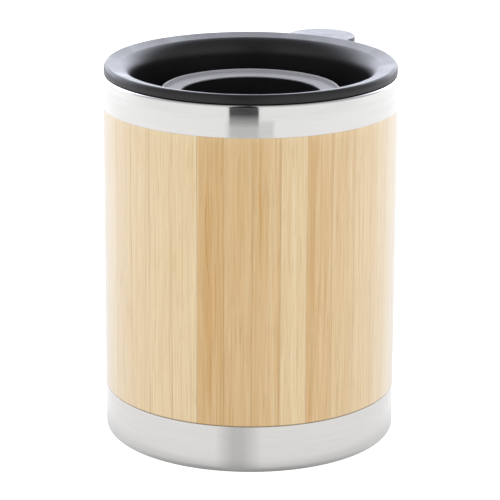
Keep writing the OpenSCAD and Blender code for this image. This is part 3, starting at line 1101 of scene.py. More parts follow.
@dataclass(frozen=True)
class BambooSleeve:
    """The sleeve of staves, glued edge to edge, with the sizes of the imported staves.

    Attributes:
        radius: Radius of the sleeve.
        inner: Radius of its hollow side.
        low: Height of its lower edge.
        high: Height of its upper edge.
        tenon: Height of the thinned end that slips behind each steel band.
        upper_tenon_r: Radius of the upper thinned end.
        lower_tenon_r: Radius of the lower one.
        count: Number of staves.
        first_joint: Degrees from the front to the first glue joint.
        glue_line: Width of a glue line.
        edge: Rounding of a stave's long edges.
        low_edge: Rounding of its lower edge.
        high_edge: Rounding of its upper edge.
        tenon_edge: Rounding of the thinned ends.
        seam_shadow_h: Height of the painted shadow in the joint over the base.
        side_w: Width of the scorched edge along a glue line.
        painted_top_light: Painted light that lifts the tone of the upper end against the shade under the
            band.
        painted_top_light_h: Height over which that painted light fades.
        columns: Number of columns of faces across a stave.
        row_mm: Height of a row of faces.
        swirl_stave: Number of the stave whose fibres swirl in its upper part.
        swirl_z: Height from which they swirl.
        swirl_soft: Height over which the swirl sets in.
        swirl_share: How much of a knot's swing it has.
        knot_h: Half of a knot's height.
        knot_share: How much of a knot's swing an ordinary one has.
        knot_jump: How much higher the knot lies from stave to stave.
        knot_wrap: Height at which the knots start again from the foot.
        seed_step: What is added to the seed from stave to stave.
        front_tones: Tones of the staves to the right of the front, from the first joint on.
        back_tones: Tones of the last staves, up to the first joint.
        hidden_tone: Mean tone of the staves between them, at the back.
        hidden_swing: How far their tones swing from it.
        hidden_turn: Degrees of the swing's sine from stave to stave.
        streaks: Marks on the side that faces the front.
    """

    radius: float = SLEEVE_R
    inner: float = 38.0
    low: float = SLEEVE_LOW
    high: float = SLEEVE_TOP
    tenon: float = 4.0
    upper_tenon_r: float = 41.65
    lower_tenon_r: float = 41.15
    count: int = 34
    first_joint: float = 22.0
    glue_line: float = 0.008
    edge: float = 0.035
    low_edge: float = 0.05
    high_edge: float = 0.1
    tenon_edge: float = 0.3
    seam_shadow_h: float = 0.44
    side_w: float = 0.2
    painted_top_light: float = 0.3
    painted_top_light_h: float = 1.2
    columns: int = 32
    row_mm: float = 1.8
    swirl_stave: int = 31
    swirl_z: float = 76.0
    swirl_soft: float = 3.0
    swirl_share: float = 0.6
    knot_h: float = 7.0
    knot_share: float = 0.8
    knot_jump: float = 37.0
    knot_wrap: float = 190.0
    seed_step: float = 1.7
    # Tones rise towards both sides: partly lighter strips, partly painted whitening where the sleeve turns
    # away.
    front_tones: tuple[float, ...] = (0.42, 0.6, 0.82, 0.95, 1.1, 1.0)
    back_tones: tuple[float, ...] = (1.0, 0.95, 0.9, 0.95, 1.05, 1.05, 0.07, 0.4, 0.3, 0.87)
    hidden_tone: float = 0.45
    hidden_swing: float = 0.33
    hidden_turn: float = 150.0
    streaks: tuple[Streak, ...] = (
        Streak(-53.2, 0.4, 30, 97, -0.1),
        Streak(-43.6, 0.25, 13, 80, -0.12),
        Streak(-32.0, 0.25, 20, 90, -0.35),
        Streak(-22.2, 1.0, 44, 73, 0.2),
        Streak(-20.1, 1.0, 13, 97, 0.3),
        Streak(-17.4, 0.35, 40, 82, -0.4, 0.02),
        Streak(-15.6, 0.15, 52, 80, -0.75, -0.05),
        Streak(-14.9, 0.9, 20, 80, -0.22),
        Streak(-13.2, 0.2, 40, 70, -0.5, 0.03),
        Streak(-10.2, 0.2, 70, 97, -0.25, -0.01),
        Streak(0.3, 0.2, 13, 52, -0.3),
        Streak(3.8, 0.4, 60, 97, -0.45),
        Streak(6.2, 0.3, 20, 60, 0.3),
        Streak(8.5, 1.9, 13, 97, 0.28),
        Streak(11.1, 0.28, 13, 97, -0.45),
        Streak(16.8, 0.8, 13, 90, 0.3),
        Streak(24.0, 1.8, 13, 97, -0.36),
        Streak(29.6, 0.3, 30, 80, -0.3),
        Streak(41.6, 0.6, 50, 97, 0.4),
        Streak(55.6, 2.0, 13, 97, -0.15),
    )

    def tones(self) -> Floats:
        """Chooses a tone for each stave: set ones at the front, a mean plus a sine wave behind.

        Returns:
            One tone per stave.
        """
        step = np.arange(1, self.count + 1)
        tone = self.hidden_tone + self.hidden_swing * np.sin(np.radians(self.hidden_turn) * step)
        tone[: len(self.front_tones)] = self.front_tones
        tone[-len(self.back_tones):] = self.back_tones
        return tone

    def stave_outline(self) -> Floats:
        """Draws a stave's section, with rows up its outer face.

        Returns:
            The closed outline.
        """
        low, high = self.low, self.high
        edges = outline(
            (self.inner, low - self.tenon, self.tenon_edge),
            (self.lower_tenon_r, low - self.tenon, self.tenon_edge),
            (self.lower_tenon_r, low, 0),
            (self.radius, low, self.low_edge),
            (self.radius, low + self.seam_shadow_h, 0),
            (self.radius, high, self.high_edge),
            (self.upper_tenon_r, high, 0),
            (self.upper_tenon_r, high + self.tenon, self.tenon_edge),
            (self.inner, high + self.tenon, self.tenon_edge),
            steps=3,
        )
        return divided(edges, self.row_mm)

    def knot_at(self, height: Floats, stave: int) -> Floats:
        """Works out how near each point is to the stave's knot, where the fibres swing.

        A bell over the height, exp(-((height - knot) / half height) squared), times a share. The
        knot's height is the stave's number times a jump, less as many wraps as it holds, so that
        many staves have none. One stave has a soft step up its height instead.

        Args:
            height: The points' heights.
            stave: Number of the stave.

        Returns:
            One number per point.
        """
        if stave == self.swirl_stave:
            return self.swirl_share / (1 + np.exp((self.swirl_z - height) / self.swirl_soft))
        place = stave * self.knot_jump % self.knot_wrap
        return self.knot_share * np.exp(-(((height - place) / self.knot_h) ** 2))

    def build(self, material: bpy.types.Material) -> None:
        """Makes every stave and gives its points the numbers that the finish reads.

        Args:
            material: Finish of the staves.
        """
        points = self.stave_outline()
        pitch = FULL_TURN / self.count
        half = pitch / 2 - self.glue_line / 2 / self.radius
        first = math.radians(self.first_joint) - math.pi / 2
        for number, stave_tone in enumerate(self.tones(), 1):
            middle = first + (number - 0.5) * pitch
            shape = sector(points, middle, half, self.edge, self.columns, 2)
            piece = object_from(shape, f"stave_{number:02d}")
            x, y, z = shape.points.T
            azimuth = np.degrees(np.arctan2(x, -y))
            aside = np.abs((np.arctan2(y, x) - middle + math.pi) % FULL_TURN - math.pi)
            numbers = {
                # The tone is lifted towards the upper end by painted light against the shade under the band.
                Mark.TONE: stave_tone + self.painted_top_light * np.exp((z - self.high) / self.painted_top_light_h),
                Mark.SEED: np.full(len(z), number * self.seed_step),
                Mark.EDGE: 1 - np.clip((half - aside) * self.radius / self.side_w, 0, 1),
                # The lowest rows carry the painted shadow of the joint over the base.
                Mark.END: z - self.low < self.seam_shadow_h / 2,
                Mark.STREAK: sum(streak.shade(azimuth, z) for streak in self.streaks),
                Mark.KNOT: self.knot_at(z, number),
            }
            for mark, values in numbers.items():
                stored = piece.data.attributes.new(mark.value, "FLOAT", "POINT").data
                stored.foreach_set("value", values.astype(np.float32))
            finish_piece(piece, material, Body.MUG, f"bamboo_stave_{number:02d}")


@dataclass(frozen=True)
class SteelShell:
    """The steel parts of the mug and the spacer between them.

    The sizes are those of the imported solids, but the lip is 0.5 mm higher and tighter.

    Attributes:
        lip_z: Height of the mug's lip.
        sleeve_top: Height of the band's lower edge.
        band_r: Radius of the band at its lower edge.
        crown_r: Radius of its widest place.
        crown_z: Height of its widest place.
        crown_bend: Rounding of the wall there.
        shoulder_in: How much narrower the shoulder is than the crown.
        shoulder_z: Height of the shoulder.
        shoulder_bend: Rounding of the wall there.
        lip_draft: How much narrower the lip is than the crown.
        lip_r: Radius of the rolled lip.
        lip_start: Degrees at which the lip's roll starts.
        band_wall: Sheet thickness of the band.
        band_edge: Rounding of the band's lower edge outside.
        inner_bend: Rounding of its hollow side at the widest place.
        sheet_edge: Rounding of a sheet's cut edge.
        bend: Rounding where the band's sheet is bent.
        flange_end_r: Radius at which the cup's flange ends.
        flange_gap: Gap between that flange and the band.
        flange_edge: Rounding of the flange's corners below.
        lip_edge: Rounding of the band's edge beside the flange.
        collar_r: Inner radius of the band's collar.
        collar_z: Height of the collar's lower edge.
        cup_wall: Sheet thickness of the inner cup.
        mouth_r: Inner radius of its mouth.
        cup_r: Inner radius below the mouth.
        cup_lip_r: Radius where its flange turns into the mouth.
        cup_corner_r: Radius of its bottom corner.
        cup_floor: Height of its floor.
        mouth_end: Height at which the mouth ends and the slope starts.
        slope_end: Height at which the slope ends.
        slope_bend: Rounding at both ends of the slope.
        base_r: Radius of the base cup.
        base_top: Height of its upper edge.
        base_wall: Its sheet thickness.
        base_edge_r: Radius of its lower edge.
        base_seam: Rounding of its upper edge outside.
        foot_in_r: Inner radius of the ring that the mug stands on.
        foot_bend: Rounding there.
        middle_r: Radius of the raised middle.
        middle_bend: Rounding there.
        recess: How far the middle is pressed up.
        spacer_in: Inner radius of the spacer.
        spacer_out: Outer radius of the spacer.
        spacer_edge: Rounding of its edges.
    """

    lip_z: float = 106.1
    sleeve_top: float = SLEEVE_TOP
    band_r: float = 42.5
    crown_r: float = 42.75
    crown_z: float = 101.8
    crown_bend: float = 30.0
    shoulder_in: float = 0.1
    shoulder_z: float = 103.4
    shoulder_bend: float = 20.0
    lip_draft: float = 0.3
    lip_r: float = 0.7
    lip_start: float = 4.0
    band_wall: float = 0.8
    band_edge: float = 0.22
    inner_bend: float = 1.0
    sheet_edge: float = 0.15
    bend: float = 0.2
    flange_end_r: float = 39.0
    flange_gap: float = 0.05
    flange_edge: float = 0.1
    lip_edge: float = 0.12
    collar_r: float = 37.65
    collar_z: float = 101.6
    cup_wall: float = 0.6
    mouth_r: float = MOUTH_R
    cup_r: float = 35.0
    cup_lip_r: float = 0.9
    cup_corner_r: float = 8.0
    cup_floor: float = 9.0
    mouth_end: float = 87.0
    slope_end: float = 83.0
    slope_bend: float = 1.5
    base_r: float = SLEEVE_R
    base_top: float = SLEEVE_LOW
    base_wall: float = 0.8
    base_edge_r: float = 1.8
    base_seam: float = 0.02
    foot_in_r: float = 35.2
    foot_bend: float = 0.6
    middle_r: float = 33.7
    middle_bend: float = 1.0
    recess: float = 1.2
    spacer_in: float = 20.0
    spacer_out: float = 27.0
    spacer_edge: float = 0.5

    def band(self) -> Floats:
        """Draws the mouth band's section: faint crown, rolled lip and inner collar.

        Returns:
            The closed outline.
        """
        shelf = self.lip_z - self.cup_wall
        under = shelf - self.band_wall
        collar_out, meeting = self.collar_r + self.band_wall, self.flange_end_r + self.flange_gap
        lip_centre = (self.crown_r - self.lip_draft - self.lip_r, self.lip_z - self.lip_r)
        return outline(
            (self.band_r - self.band_wall, self.sleeve_top, self.sheet_edge),
            (self.band_r, self.sleeve_top, self.band_edge),
            (self.crown_r, self.crown_z, self.crown_bend),
            (self.crown_r - self.shoulder_in, self.shoulder_z, self.shoulder_bend),
            arc(lip_centre, self.lip_r, self.lip_start, 90, 14),
            (meeting, self.lip_z, self.lip_edge),
            (meeting, shelf, 0),
            (self.collar_r, shelf, self.sheet_edge),
            (self.collar_r, self.collar_z, self.bend),
            (collar_out, self.collar_z, self.bend),
            (collar_out, under, self.bend),
            (lip_centre[0], under, 0),
            (self.crown_r - self.band_wall, self.crown_z, self.inner_bend),
        )

    def cup(self) -> Floats:
        """Draws the inner cup's section: one sheet with a flange, a lip, a slope and a corner.

        Returns:
            The closed outline.
        """
        wall = self.cup_wall
        corner = (self.cup_r - self.cup_corner_r, self.cup_floor + self.cup_corner_r)
        lip_centre = (self.mouth_r + self.cup_lip_r, self.lip_z - self.cup_lip_r)
        return outline(
            (0, self.cup_floor - wall),
            arc(corner, self.cup_corner_r + wall, -90, 0, 20),
            (self.cup_r + wall, self.slope_end, self.slope_bend),
            (self.mouth_r + wall, self.mouth_end, self.slope_bend),
            (self.mouth_r + wall, self.lip_z - wall, self.flange_edge),
            (self.flange_end_r, self.lip_z - wall, self.flange_edge),
            (self.flange_end_r, self.lip_z, self.sheet_edge),
            arc(lip_centre, self.cup_lip_r, 90, 180, 10),
            (self.mouth_r, self.mouth_end, self.slope_bend),
            (self.cup_r, self.slope_end, self.slope_bend),
            arc(corner, self.cup_corner_r, 0, -90, 20),
            (0, self.cup_floor),
        )

    def base(self) -> Floats:
        """Draws the base cup's section: a foot ring round a middle that is pressed up.

        Returns:
            The closed outline.
        """
        wall = self.base_wall
        corner = (self.base_r - self.base_edge_r, self.base_edge_r)
        return outline(
            (0, self.recess),
            (self.middle_r, self.recess, self.middle_bend),
            (self.foot_in_r, 0, self.foot_bend),
            arc(corner, self.base_edge_r, -90, 0, 16),
            (self.base_r, self.base_top, self.base_seam),
            (self.base_r - wall, self.base_top, self.sheet_edge),
            arc(corner, self.base_edge_r - wall, 0, -90, 10),
            (self.foot_in_r, wall, self.foot_bend),
            (self.middle_r, self.recess + wall, self.middle_bend),
            (0, self.recess + wall),
        )

    def spacer(self) -> Floats:
        """The section of the moulded ring between the base cup and the inner cup."""
        low, high = self.recess + self.base_wall, self.cup_floor - self.cup_wall
        return block(self.spacer_in, self.spacer_out, low, high, self.spacer_edge)

    def build(
        self, band_steel: bpy.types.Material, cup_steel: bpy.types.Material, plastic: bpy.types.Material
    ) -> None:
        """Makes the four pieces.

        Args:
            band_steel: Finish of the mouth band and the base cup.
            cup_steel: Finish of the inner cup.
            plastic: Finish of the spacer.
        """
        for name, node, points, material, slot in (
            ("mouth_ring", "mouth_band", self.band(), band_steel, Slot.BAND),
            ("drink_cup", "inner_cup", self.cup(), cup_steel, Slot.CUP),
            ("base_shell", "base_cup", self.base(), band_steel, Slot.BAND),
            ("spacer_ring", "cup_spacer", self.spacer(), plastic, Slot.SPACER),
        ):
            finish_piece(object_from(turned(points), name), material, Body.MUG, node)


@dataclass(frozen=True)
class Lid:
    """The push-in lid with its tab, drink slot, air hole, stop posts and seal.

    Turns are degrees from +X towards +Y, so that the front is at 270.

    Attributes:
        top: Height of the rim's ridge.
        flange_z: Height of the flange's lower edge.
        wall_top: Height where its upright edge ends and the ridge's arc starts.
        flange_r: Radius of the flange.
        edge_r: Rounding of its lower edge and of the boss's.
        ridge_r: Radius of the rim's ridge.
        ridge_start: Degrees at which the ridge's arc starts.
        ridge_over: Degrees that it runs on past the ridge, and that the funnel's arc leaves out.
        rim_w: Width of the sloping rim.
        rim_drop: How far the rim falls towards the axis.
        rim_bend: Rounding of its inner edge.
        funnel_h: Height from the ridge down to the funnel's foot.
        funnel_turn: Degrees from level at which the funnel starts.
        recess_r: Radius of the recess.
        floor_z: Height of its floor.
        floor_t: Thickness of its floor.
        fillet_r: Rounding where wall and floor meet.
        plug_r: Radius of the plug.
        plug_bevel: Size of the bevel at its lower edge.
        bevel_edge: Rounding of the bevel's edges.
        groove_low: Height of the lower side of the seal's groove.
        groove_high: Height of its upper side.
        groove_r: Radius of its bottom.
        groove_edge: Rounding of its outer edges.
        groove_bend: Rounding of its inner corners.
        boss_r: Radius of the boss round the spindle.
        boss_z: Height of its lower end.
        boss_root: Rounding where it meets the floor.
        bore_r: Radius of the spindle's bore.
        bore_low_edge: Rounding of the bore's lower edge.
        bore_top_edge: Rounding of its upper edge.
        tab_turn: Turn at which the tab and the air hole lie.
        tab_r: Radius of the tab.
        tab_t: Its thickness.
        tab_edge_r: Rounding of its edges.
        slot_turn: Turn at which the drink slot lies.
        slot_mid_r: Radius of the slot's middle line.
        slot_w: Its width.
        slot_half: Half of the angle between its end centres, in degrees.
        vent_r: Radius of the air hole.
        stop_half: Degrees from the gate's middle to a stop post.
        open_angle: Degrees that the dial turns.
        stop_r: Radius of a stop post.
        stop_h: Its height over the floor.
        stop_edge: Rounding of its top.
        seal_gap: Gap between the seal and what surrounds it.
        mouth_r: Inner radius of the cup's mouth.
        fins: Number of the seal's fins.
        fin_root: Rounding between fins.
        fin_tip: Rounding of a fin's tip.
        seal_edge: Rounding of the seal's back edges.
    """

    top: float = 108.8
    flange_z: float = 106.2
    wall_top: float = 107.2
    flange_r: float = 41.8
    edge_r: float = 0.3
    ridge_r: float = 40.8
    ridge_start: float = 4.0
    ridge_over: float = 5.0
    rim_w: float = 3.8
    rim_drop: float = 0.85
    rim_bend: float = 0.9
    funnel_h: float = 5.6
    funnel_turn: float = 20.0
    recess_r: float = 34.0
    floor_z: float = 90.0
    floor_t: float = 2.0
    fillet_r: float = 0.8
    plug_r: float = 36.4
    plug_bevel: float = 0.8
    bevel_edge: float = 0.25
    groove_low: float = 94.7
    groove_high: float = 99.7
    groove_r: float = 35.4
    groove_edge: float = 0.15
    groove_bend: float = 0.1
    boss_r: float = 7.05
    boss_z: float = 85.0
    boss_root: float = 0.4
    bore_r: float = 4.55
    bore_low_edge: float = 0.2
    bore_top_edge: float = 0.15
    tab_turn: float = 60.0
    tab_r: float = 10.0
    tab_t: float = 1.7
    tab_edge_r: float = 0.35
    slot_turn: float = GATE_TURN
    slot_mid_r: float = 29.75
    slot_w: float = 6.0
    slot_half: float = 8.0
    vent_r: float = 1.0
    stop_half: float = 19.27
    open_angle: float = 75.0
    stop_r: float = 1.0
    stop_h: float = 2.2
    stop_edge: float = 0.2
    seal_gap: float = 0.05
    mouth_r: float = MOUTH_R
    fins: int = 3
    fin_root: float = 0.08
    fin_tip: float = 0.12
    seal_edge: float = 0.1

    def body_outline(self) -> Floats:
        """Draws the lid's section: boss, plug with its groove, flange, rim, funnel, recess and floor.

        The ridge and the funnel are arcs of ellipses. The funnel's is as wide as the way inwards
        over (1 - sine of its first angle from level) and as high as the way down over the cosine
        of that angle, so that it leaves the rim at the angle and ends upright.

        Returns:
            The closed outline.
        """
        rim_in, rim_z = self.ridge_r - self.rim_w, self.top - self.rim_drop
        end_z = self.top - self.funnel_h
        bend = math.radians(self.funnel_turn)
        across, up = (rim_in - self.recess_r) / (1 - math.sin(bend)), (rim_z - end_z) / math.cos(bend)
        over = 90 + self.ridge_over
        ridge_w, ridge_h = self.flange_r - self.ridge_r, self.top - self.wall_top
        plug_z = self.floor_z - self.floor_t
        return outline(
            (self.bore_r, self.boss_z, self.bore_low_edge),
            (self.boss_r, self.boss_z, self.edge_r),
            (self.boss_r, plug_z, self.boss_root),
            (self.plug_r - self.plug_bevel, plug_z, self.bevel_edge),
            (self.plug_r, plug_z + self.plug_bevel, self.bevel_edge),
            (self.plug_r, self.groove_low, self.groove_edge),
            (self.groove_r, self.groove_low, self.groove_bend),
            (self.groove_r, self.groove_high, self.groove_bend),
            (self.plug_r, self.groove_high, self.groove_edge),
            (self.plug_r, self.flange_z, self.edge_r),
            (self.flange_r, self.flange_z, self.edge_r),
            bow((self.ridge_r, self.wall_top), ridge_w, ridge_h, self.ridge_start, over, 16),
            (rim_in, rim_z, self.rim_bend),
            bow((self.recess_r + across, end_z), across, up, over + self.funnel_turn, 180, 24),
            (self.recess_r, self.floor_z, self.fillet_r),
            (self.bore_r, self.floor_z, self.bore_top_edge),
        )

    def tab(self) -> Shape:
        """Makes the round tab, with its edges rounded.

        Returns:
            The shape.
        """
        low, edge = self.top - self.tab_t, self.tab_edge_r
        points = outline((0, low), (self.tab_r, low, edge), (self.tab_r, self.top, edge), (0, self.top))
        return turned(points, 96).moved(*self.around(self.tab_turn, self.flange_r), 0)

    def tab_keep(self) -> Shape:
        """All that lies inside the flange's rounded edge, to be cut off the tab."""
        low, high = self.top - 2 * self.tab_t, self.top + self.tab_t
        return turned(block(0, self.ridge_r, low, high))

    @staticmethod
    def around(turn: float, radius: float) -> tuple[float, float]:
        """A place at an angle in degrees and a distance from the axis."""
        return radius * math.cos(math.radians(turn)), radius * math.sin(math.radians(turn))

    def drink_slot(self) -> Shape:
        """Makes the slot through the floor: two arcs round the axis, joined by half circles.

        The points are set out round +X and then turned to the slot's place, by their product
        with the turn's matrix.

        Returns:
            The shape to cut out.
        """
        half, mid, end_r = self.slot_half, self.slot_mid_r, self.slot_w / 2
        centre = np.array(self.around(half, mid))
        points = np.vstack(
            [
                arc((0, 0), mid + end_r, -half, half, 14),
                arc(centre, end_r, half, half + 180, 14)[1:],
                arc((0, 0), mid - end_r, half, -half, 14)[1:],
                arc(centre * [1, -1], end_r, 180 - half, 360 - half, 14)[1:-1],
            ]
        )
        cosine, sine = self.around(self.slot_turn, 1)
        points = points @ np.array([[cosine, sine], [-sine, cosine]])
        middle = self.floor_z - self.floor_t / 2
        return prism(points, (0, 0, -1), 3 * self.floor_t, (0, 1, 0)).moved(0, 0, middle)

    def rod(self, turn: float, radius: float, low: float, high: float, edge: float = 0.0) -> Shape:
        """Makes an upright round rod on the drink slot's middle line.

        Args:
            turn: Turn at which it lies.
            radius: Its radius.
            low: Height of its lower end.
            high: Height of its upper end.
            edge: Rounding of its upper edge.

        Returns:
            The shape.
        """
        points = outline((0, low), (radius, low), (radius, high, edge), (0, high))
        return turned(points, 40).moved(*self.around(turn, self.slot_mid_r), 0)

    def seal_outline(self) -> Floats:
        """Draws the seal's section: a flat back and fins with round tips.

        Returns:
            The closed outline.
        """
        low, high = self.groove_low + self.seal_gap, self.groove_high - self.seal_gap
        back, tip = self.groove_r + self.seal_gap, self.mouth_r - self.seal_gap
        root = (self.plug_r + tip) / 2 - self.seal_gap
        pitch = (high - low) / self.fins
        rows = np.column_stack(
            [
                np.tile((root, tip), self.fins),
                low + np.arange(2 * self.fins) * pitch / 2,
                np.tile((self.fin_root, self.fin_tip), self.fins),
            ]
        )
        ends = (back, high, self.seal_edge), (back, low, self.seal_edge)
        return outline(*ends, rows, (root, high, self.fin_root))

    def build(self, plastic: bpy.types.Material, silicone: bpy.types.Material) -> None:
        """Makes the lid's body and its seal.

        Args:
            plastic: Finish of the body.
            silicone: Finish of the seal.
        """
        tab = object_from(self.tab(), "tab_part")
        combine(tab, [self.tab_keep()], Join.CUT)
        body = object_from(turned(self.body_outline()), "lid_shell")
        combine(body, [tab], Join.ADD)
        sunk = self.floor_z - self.floor_t / 2
        posts = [
            self.rod(turn, self.stop_r, sunk, self.floor_z + self.stop_h, self.stop_edge)
            for turn in (self.slot_turn - self.stop_half, self.slot_turn + self.open_angle + self.stop_half)
        ]
        combine(body, posts, Join.ADD)
        vent = self.rod(self.tab_turn, self.vent_r, sunk - self.floor_t, sunk + self.floor_t)
        combine(body, [self.drink_slot(), vent], Join.CUT)
        finish_piece(body, plastic, Body.LID, "lid_body")
        seal = object_from(turned(self.seal_outline()), "plug_seal")
        finish_piece(seal, silicone, Body.LID, "lid_seal")


@dataclass(frozen=True)
class Dial:
    """The turning dial: well, grip bar, gate, spindle, ring, pad, spindle seal and clip.

    Attributes:
        radius: Radius of the dial.
        well_r: Radius of the finger well.
        low: Height of the dial's underside.
        wall: Its wall thickness.
        well_z: Height of the well's floor.
        well_edge: Rounding of the well's upper edge.
        well_fillet: Rounding where its wall and floor meet.
        hollow_edge: Rounding of the hollow between the two walls.
        foot_edge: Rounding of the outer wall's lower edges.
        ring_low: Height of the ring's seat.
        ring_high: Height of the ring's face.
        seat_edge: Rounding of the corners where ring and dial meet.
        ring_edge: Rounding of the ring's own edges.
        ring_edge_t: Thickness of the ring at its inner edge.
        lip_h: Height of the ring's raised lip over its face.
        lip_w: Width of that lip.
        lip_edge: Rounding of its edges.
        lip_root: Rounding where it meets the face.
        bar_w: Width of the grip bar.
        bar_top: Height of its top.
        bar_edge: Rounding of its edges.
        turn: Turn at which the gate lies when shut, in degrees.
        gate_out_r: Outer radius of the gate.
        gate_t: Its thickness.
        gate_half: Half of the angle that it takes up.
        gate_edge: Rounding of its long edges.
        gate_end: Rounding of its ends.
        pad_in_r: Inner radius of the pad.
        pad_out_r: Outer radius of the pad.
        pad_low: Height of its underside.
        pad_top: Height of its upper side.
        pad_half: Half of the angle that it takes up.
        pad_edge: Rounding of its edges.
        spindle_r: Radius of the spindle.
        spindle_z: Height of its lower end.
        spindle_bevel: Size of the bevel there.
        bevel_edge: Rounding of the bevel's edges.
        spindle_root: Rounding where the spindle meets the dial.
        neck_r: Radius of the neck that the clip sits on.
        clip_low: Height of the clip's lower side.
        clip_high: Height of its upper side.
        clip_w: Its width.
        clip_mouth: Width of its mouth.
        clip_edge: Rounding of its edges.
        neck_edge: Rounding of the neck's corners.
        seal_z: Height of the spindle seal's middle.
        seal_groove_r: Radius of its groove's bottom.
        seal_groove_edge: Rounding of the groove's corners.
        seal_d: Thickness of the seal.
        seal_room: How much wider the groove is.
    """

    radius: float = 25.5
    well_r: float = 20.3
    low: float = 90.3
    wall: float = 1.6
    well_z: float = 91.9
    well_edge: float = 0.1
    well_fillet: float = 1.2
    hollow_edge: float = 0.5
    foot_edge: float = 0.3
    ring_low: float = 99.1
    ring_high: float = 99.9
    seat_edge: float = 0.05
    ring_edge: float = 0.08
    ring_edge_t: float = 0.25
    lip_h: float = 1.1
    lip_w: float = 0.6
    lip_edge: float = 0.22
    lip_root: float = 0.15
    bar_w: float = 3.2
    bar_top: float = 94.7
    bar_edge: float = 0.9
    turn: float = GATE_TURN
    gate_out_r: float = 33.5
    gate_t: float = 2.6
    gate_half: float = 16.77
    gate_edge: float = 0.35
    gate_end: float = 0.3
    pad_in_r: float = 26.4
    pad_out_r: float = 33.1
    pad_low: float = 90.05
    pad_top: float = 91.2
    pad_half: float = 14.45
    pad_edge: float = 0.25
    spindle_r: float = 4.5
    spindle_z: float = 82.0
    spindle_bevel: float = 0.5
    bevel_edge: float = 0.15
    spindle_root: float = 0.1
    neck_r: float = 3.5
    clip_low: float = 83.2
    clip_high: float = 84.8
    clip_w: float = 3.4
    clip_mouth: float = 6.0
    clip_edge: float = 0.2
    neck_edge: float = 0.05
    seal_z: float = 87.5
    seal_groove_r: float = 3.32
    seal_groove_edge: float = 0.08
    seal_d: float = 1.2
    seal_room: float = 0.2

    def body_outline(self) -> Floats:
        """Draws the dial's section: spindle with its grooves, double wall and finger well.

        Returns:
            The closed outline.
        """
        bevel = self.ring_high - self.ring_low - self.ring_edge_t
        seal_half = (self.seal_d + self.seal_room) / 2
        seal_low, seal_high = self.seal_z - seal_half, self.seal_z + seal_half
        inner_wall, outer_wall = self.well_r + self.wall, self.radius - self.wall
        return outline(
            (0, self.spindle_z),
            (self.spindle_r - self.spindle_bevel, self.spindle_z, self.bevel_edge),
            (self.spindle_r, self.spindle_z + self.spindle_bevel, self.bevel_edge),
            (self.spindle_r, self.clip_low, self.neck_edge),
            (self.neck_r, self.clip_low, self.neck_edge),
            (self.neck_r, self.clip_high, self.neck_edge),
            (self.spindle_r, self.clip_high, self.neck_edge),
            (self.spindle_r, seal_low, self.seal_groove_edge),
            (self.seal_groove_r, seal_low, self.seal_groove_edge),
            (self.seal_groove_r, seal_high, self.seal_groove_edge),
            (self.spindle_r, seal_high, self.seal_groove_edge),
            (self.spindle_r, self.low, self.spindle_root),
            (inner_wall, self.low, self.hollow_edge),
            (inner_wall, self.ring_low - self.wall, self.hollow_edge),
            (outer_wall, self.ring_low - self.wall, self.hollow_edge),
            (outer_wall, self.low, self.foot_edge),
            (self.radius, self.low, self.foot_edge),
            (self.radius, self.ring_low, self.seat_edge),
            (self.well_r + bevel, self.ring_low, self.seat_edge),
            (self.well_r, self.ring_low + bevel, self.well_edge),
            (self.well_r, self.well_z, self.well_fillet),
            (0, self.well_z),
        )

    def ring_outline(self) -> Floats:
        """Draws the ring's section: a flat face with a bevelled inner edge and a raised lip.

        Returns:
            The closed outline.
        """
        bevel = self.ring_high - self.ring_low - self.ring_edge_t
        lip_in, lip_top = self.radius - self.lip_w, self.ring_high + self.lip_h
        return outline(
            (self.well_r + bevel, self.ring_low, self.seat_edge),
            (self.radius, self.ring_low, self.ring_edge),
            (self.radius, lip_top, self.lip_edge),
            (lip_in, lip_top, self.lip_edge),
            (lip_in, self.ring_high, self.lip_root),
            (self.well_r, self.ring_high, self.ring_edge),
            (self.well_r, self.ring_high - self.ring_edge_t, self.seat_edge),
        )

    def bar(self) -> Shape:
        """Makes the grip bar across the well, with a rounded top.

        Returns:
            The shape.
        """
        half, low, edge = self.bar_w / 2, self.well_z - self.wall / 2, self.bar_edge
        points = outline((-half, low), (half, low), (half, self.bar_top, edge), (-half, self.bar_top, edge))
        spin = math.radians(self.turn)
        length = 2 * self.well_r + self.wall
        return prism(points, (math.cos(spin), math.sin(spin), 0), length, (0, 0, 1))

    def clip(self) -> Shape:
        """Makes the open clip: a flat ring whose mouth has straight sides.

        At radius r the mouth takes up twice the angle whose sine is half its width over r.

        Returns:
            The shape.
        """
        outer = self.neck_r + self.clip_w
        points = divided(block(self.neck_r, outer, self.clip_low, self.clip_high, self.clip_edge), 0.5)
        missing = np.arcsin(self.clip_mouth / 2 / points[:, 0])
        return sector(points, math.radians(self.turn) + math.pi, math.pi - missing, columns=72)

    def gate(self) -> Shape:
        """Makes the gate that covers the drink slot when the dial is shut.

        Returns:
            The shape.
        """
        inner, high = self.radius - self.wall / 2, self.low + self.gate_t
        points = block(inner, self.gate_out_r, self.low, high, self.gate_edge)
        return sector(points, math.radians(self.turn), math.radians(self.gate_half), self.gate_end)

    def pad(self, low: float, edge: float = 0.0) -> Shape:
        """Makes the pad under the gate, or the seat that is cut for it.

        Args:
            low: Height of its underside.
            edge: Rounding of its edges.

        Returns:
            The shape.
        """
        points = block(self.pad_in_r, self.pad_out_r, low, self.pad_top, edge)
        return sector(points, math.radians(self.turn), math.radians(self.pad_half), edge)

